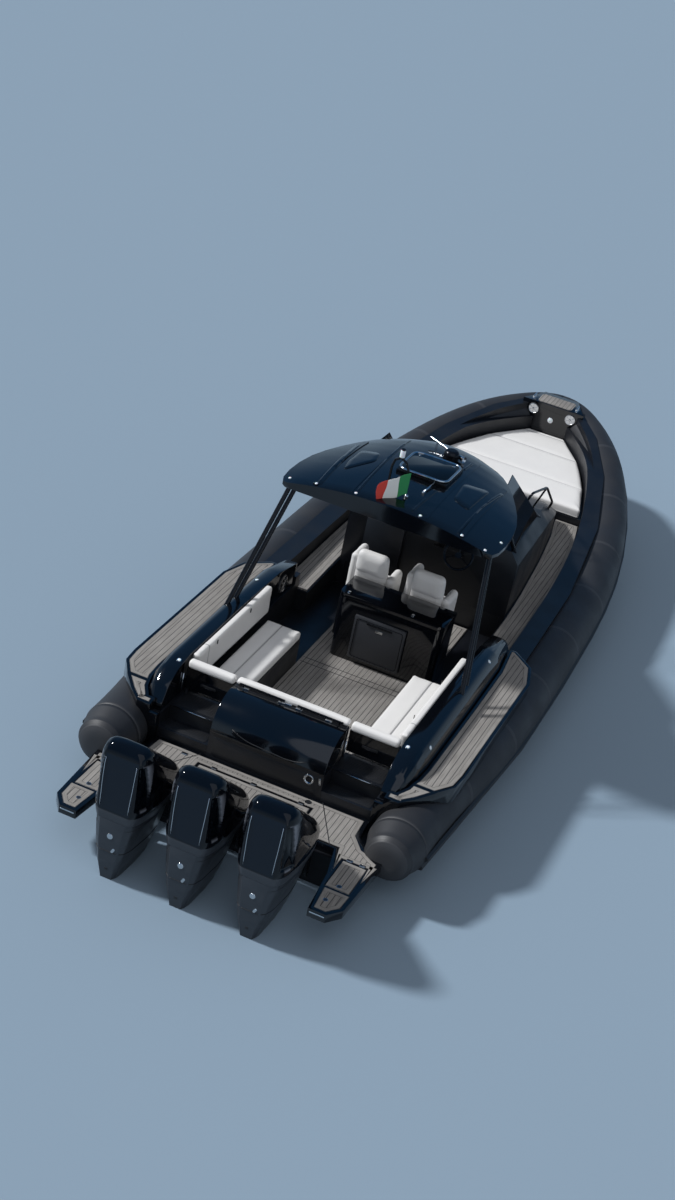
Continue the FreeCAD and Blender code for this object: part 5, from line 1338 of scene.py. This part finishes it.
def cowl_outline(front, rear, half, flat):
    """Half of a section in plan, from the middle of the front to the middle of the rear."""
    length = front - rear
    return np.array([
        (front, 0.0), (front, 0.38 * half), (front - 0.05 * length, 0.70 * half),
        (front - 0.17 * length, 0.93 * half), (front - 0.45 * length, half),
        (rear + 0.22 * length, 0.93 * half), (rear + 0.07 * length, 0.80 * half),
        (rear + 0.004, flat * half + 0.012), (rear, flat * half - 0.012), (rear, 0.0)])


COWL_ROWS = 110
COWL_SIDE = 84
reach = np.concatenate([[0.0], np.cumsum(np.hypot(np.diff(COWL[:, 0]), 0.5 * np.diff(COWL[:, 1])))])
rows = hermite(reach, COWL, np.gradient(COWL, reach, axis=0), np.linspace(0, reach[-1], COWL_ROWS))
halves = np.array([cowl_outline(*row[1:]) for row in rows])
for again in range(2):
    first = 0.75 * halves[:, :-1] + 0.25 * halves[:, 1:]
    second = 0.25 * halves[:, :-1] + 0.75 * halves[:, 1:]
    cut = np.stack([first, second], 2).reshape(len(halves), -1, 2)
    halves = np.concatenate([halves[:, :1], cut, halves[:, -1:]], 1)
even = np.stack([evened(one, COWL_SIDE) for one in halves])
other = even[:, -2:0:-1] * (1, -1)
section = np.concatenate([even, other], 1)
shell = np.concatenate([section, np.broadcast_to(rows[:, :1, None], section.shape[:2] + (1,))], 2)
along_shell = np.gradient(shell, axis=0)
round_shell = np.roll(shell, -1, axis=1) - np.roll(shell, 1, axis=1)
outward_shell = np.cross(round_shell, along_shell)
outward_shell /= np.linalg.norm(outward_shell, axis=2)[..., None] + 1e-12
middle_of = shell.mean(axis=1, keepdims=True)
outward_shell *= np.sign((outward_shell * (shell - middle_of)).sum(-1))[..., None]
z = shell[..., 2]
across_share = np.abs(shell[..., 1]) / rows[:, 3][:, None]
rearward = shell[..., 0] < rows[:, 2][:, None] + 0.16


def gate_between(value, low, high, soft):
    """1 between two values and 0 outside, with a soft step at each."""
    return np.clip((value - low) / soft + 0.5, 0, 1) * np.clip((high - value) / soft + 0.5, 0, 1)


scoop_in = gate_between(z, SCOOP_Z[0], SCOOP_Z[1], 0.02) * gate_between(across_share, 0.70, 0.905, 0.05)
scoop_in = scoop_in * (shell[..., 0] < rows[:, 2][:, None] + 0.20 * (rows[:, 1] - rows[:, 2])[:, None])
# The lip mask marks where the painted highlight goes, round each scoop on the rear corners.
lip = gate_between(z, SCOOP_Z[0] - 0.02, SCOOP_Z[1] + 0.015, 0.02)
lip = lip * gate_between(across_share, 0.66, 0.95, 0.05)
lip = np.clip(lip - scoop_in, 0, 1) * rearward * (across_share > 0.8)
panel_in = (gate_between(z, PANEL_Z[0], PANEL_Z[1], 0.01) * (shell[..., 0] < rows[:, 2][:, None] + 0.012)
            * gate_between(across_share, -1.0, rows[:, 4][:, None] - 0.03, 0.04))
crease = np.exp(-((z - CREASE_Z) / 0.006) ** 2)
shell = shell - outward_shell * (SCOOP_DEEP * scoop_in + 0.003 * panel_in + 0.004 * crease)[..., None]
marks = {"scoop": scoop_in, "lip": lip, "panel": panel_in, "lower": gate_between(z, -1.0, CREASE_Z, 0.008)}
edge_y = rows[:, 4] * rows[:, 3]
for n, y in (("1", ENGINE_SPACING), ("2", 0.0), ("3", -ENGINE_SPACING)):
    piece_of("cowl_shell_" + n, grid_form(shell + (0, y, 0)), "engine_" + n, lacquer,
             ("cowl_" + n,), values={key: value.ravel() for key, value in marks.items()})
    # Painted highlight: thin steel lines along the rear panel's edges stand in for the glints there.
    for sign, side_name in ((1, "port"), (-1, "starboard")):
        line_rows = [r for r in range(COWL_ROWS) if 0.80 < rows[r, 0] < 1.34][::9]
        bright = [(rows[r, 2] - 0.0015, y + sign * (edge_y[r] - 0.020), rows[r, 0]) for r in line_rows]
        piece_of("cowl_glint_line_%s_%s" % (side_name, n), pipe_form(bright, 0.0035, PORT, 0.001, count=8),
                 "engine_" + n, steel)
    # A plain round button, an oval one and the small drain grille, then the lower cowl's seam.
    at, facing = landing("leg_" + n, (BEHIND_LEG, y, 0.50), FORE)
    piece_of("cowl_badge_" + n, domed(at, facing, 0.030, 0.008), "engine_" + n, steel)
    at, facing = landing("leg_" + n, (BEHIND_LEG, y - 0.13, 0.36), (1, 0.12, 0))
    piece_of("cowl_oval_" + n, plate_form(at, facing, (0, -0.5, 1), 0.058, 0.026, 0.013, 0.004),
             "engine_" + n, steel, sharp=40)
    at, facing = landing("leg_" + n, (BEHIND_LEG, y, 0.12), FORE)
    piece_of("cowl_drain_" + n, plate_form(at, facing, PORT, 0.036, 0.030, 0.004, 0.003), "engine_" + n,
             rubber, sharp=40)
    ring = []
    for t in np.linspace(0, 2 * math.pi, 49)[:-1]:
        start = np.array([SEAM_X + 1.2 * math.cos(t), y + 0.9 * math.sin(t), SEAM_Z])
        toward = np.array([SEAM_X, y, SEAM_Z]) - start
        at, facing = landing("leg_" + n, start, toward)
        ring.append(at + 0.0005 * facing)
    piece_of("cowl_seam_" + n, pipe_form(ring, 0.0045, UP, 0.001, closed=True, count=6), "engine_" + n,
             rubber)
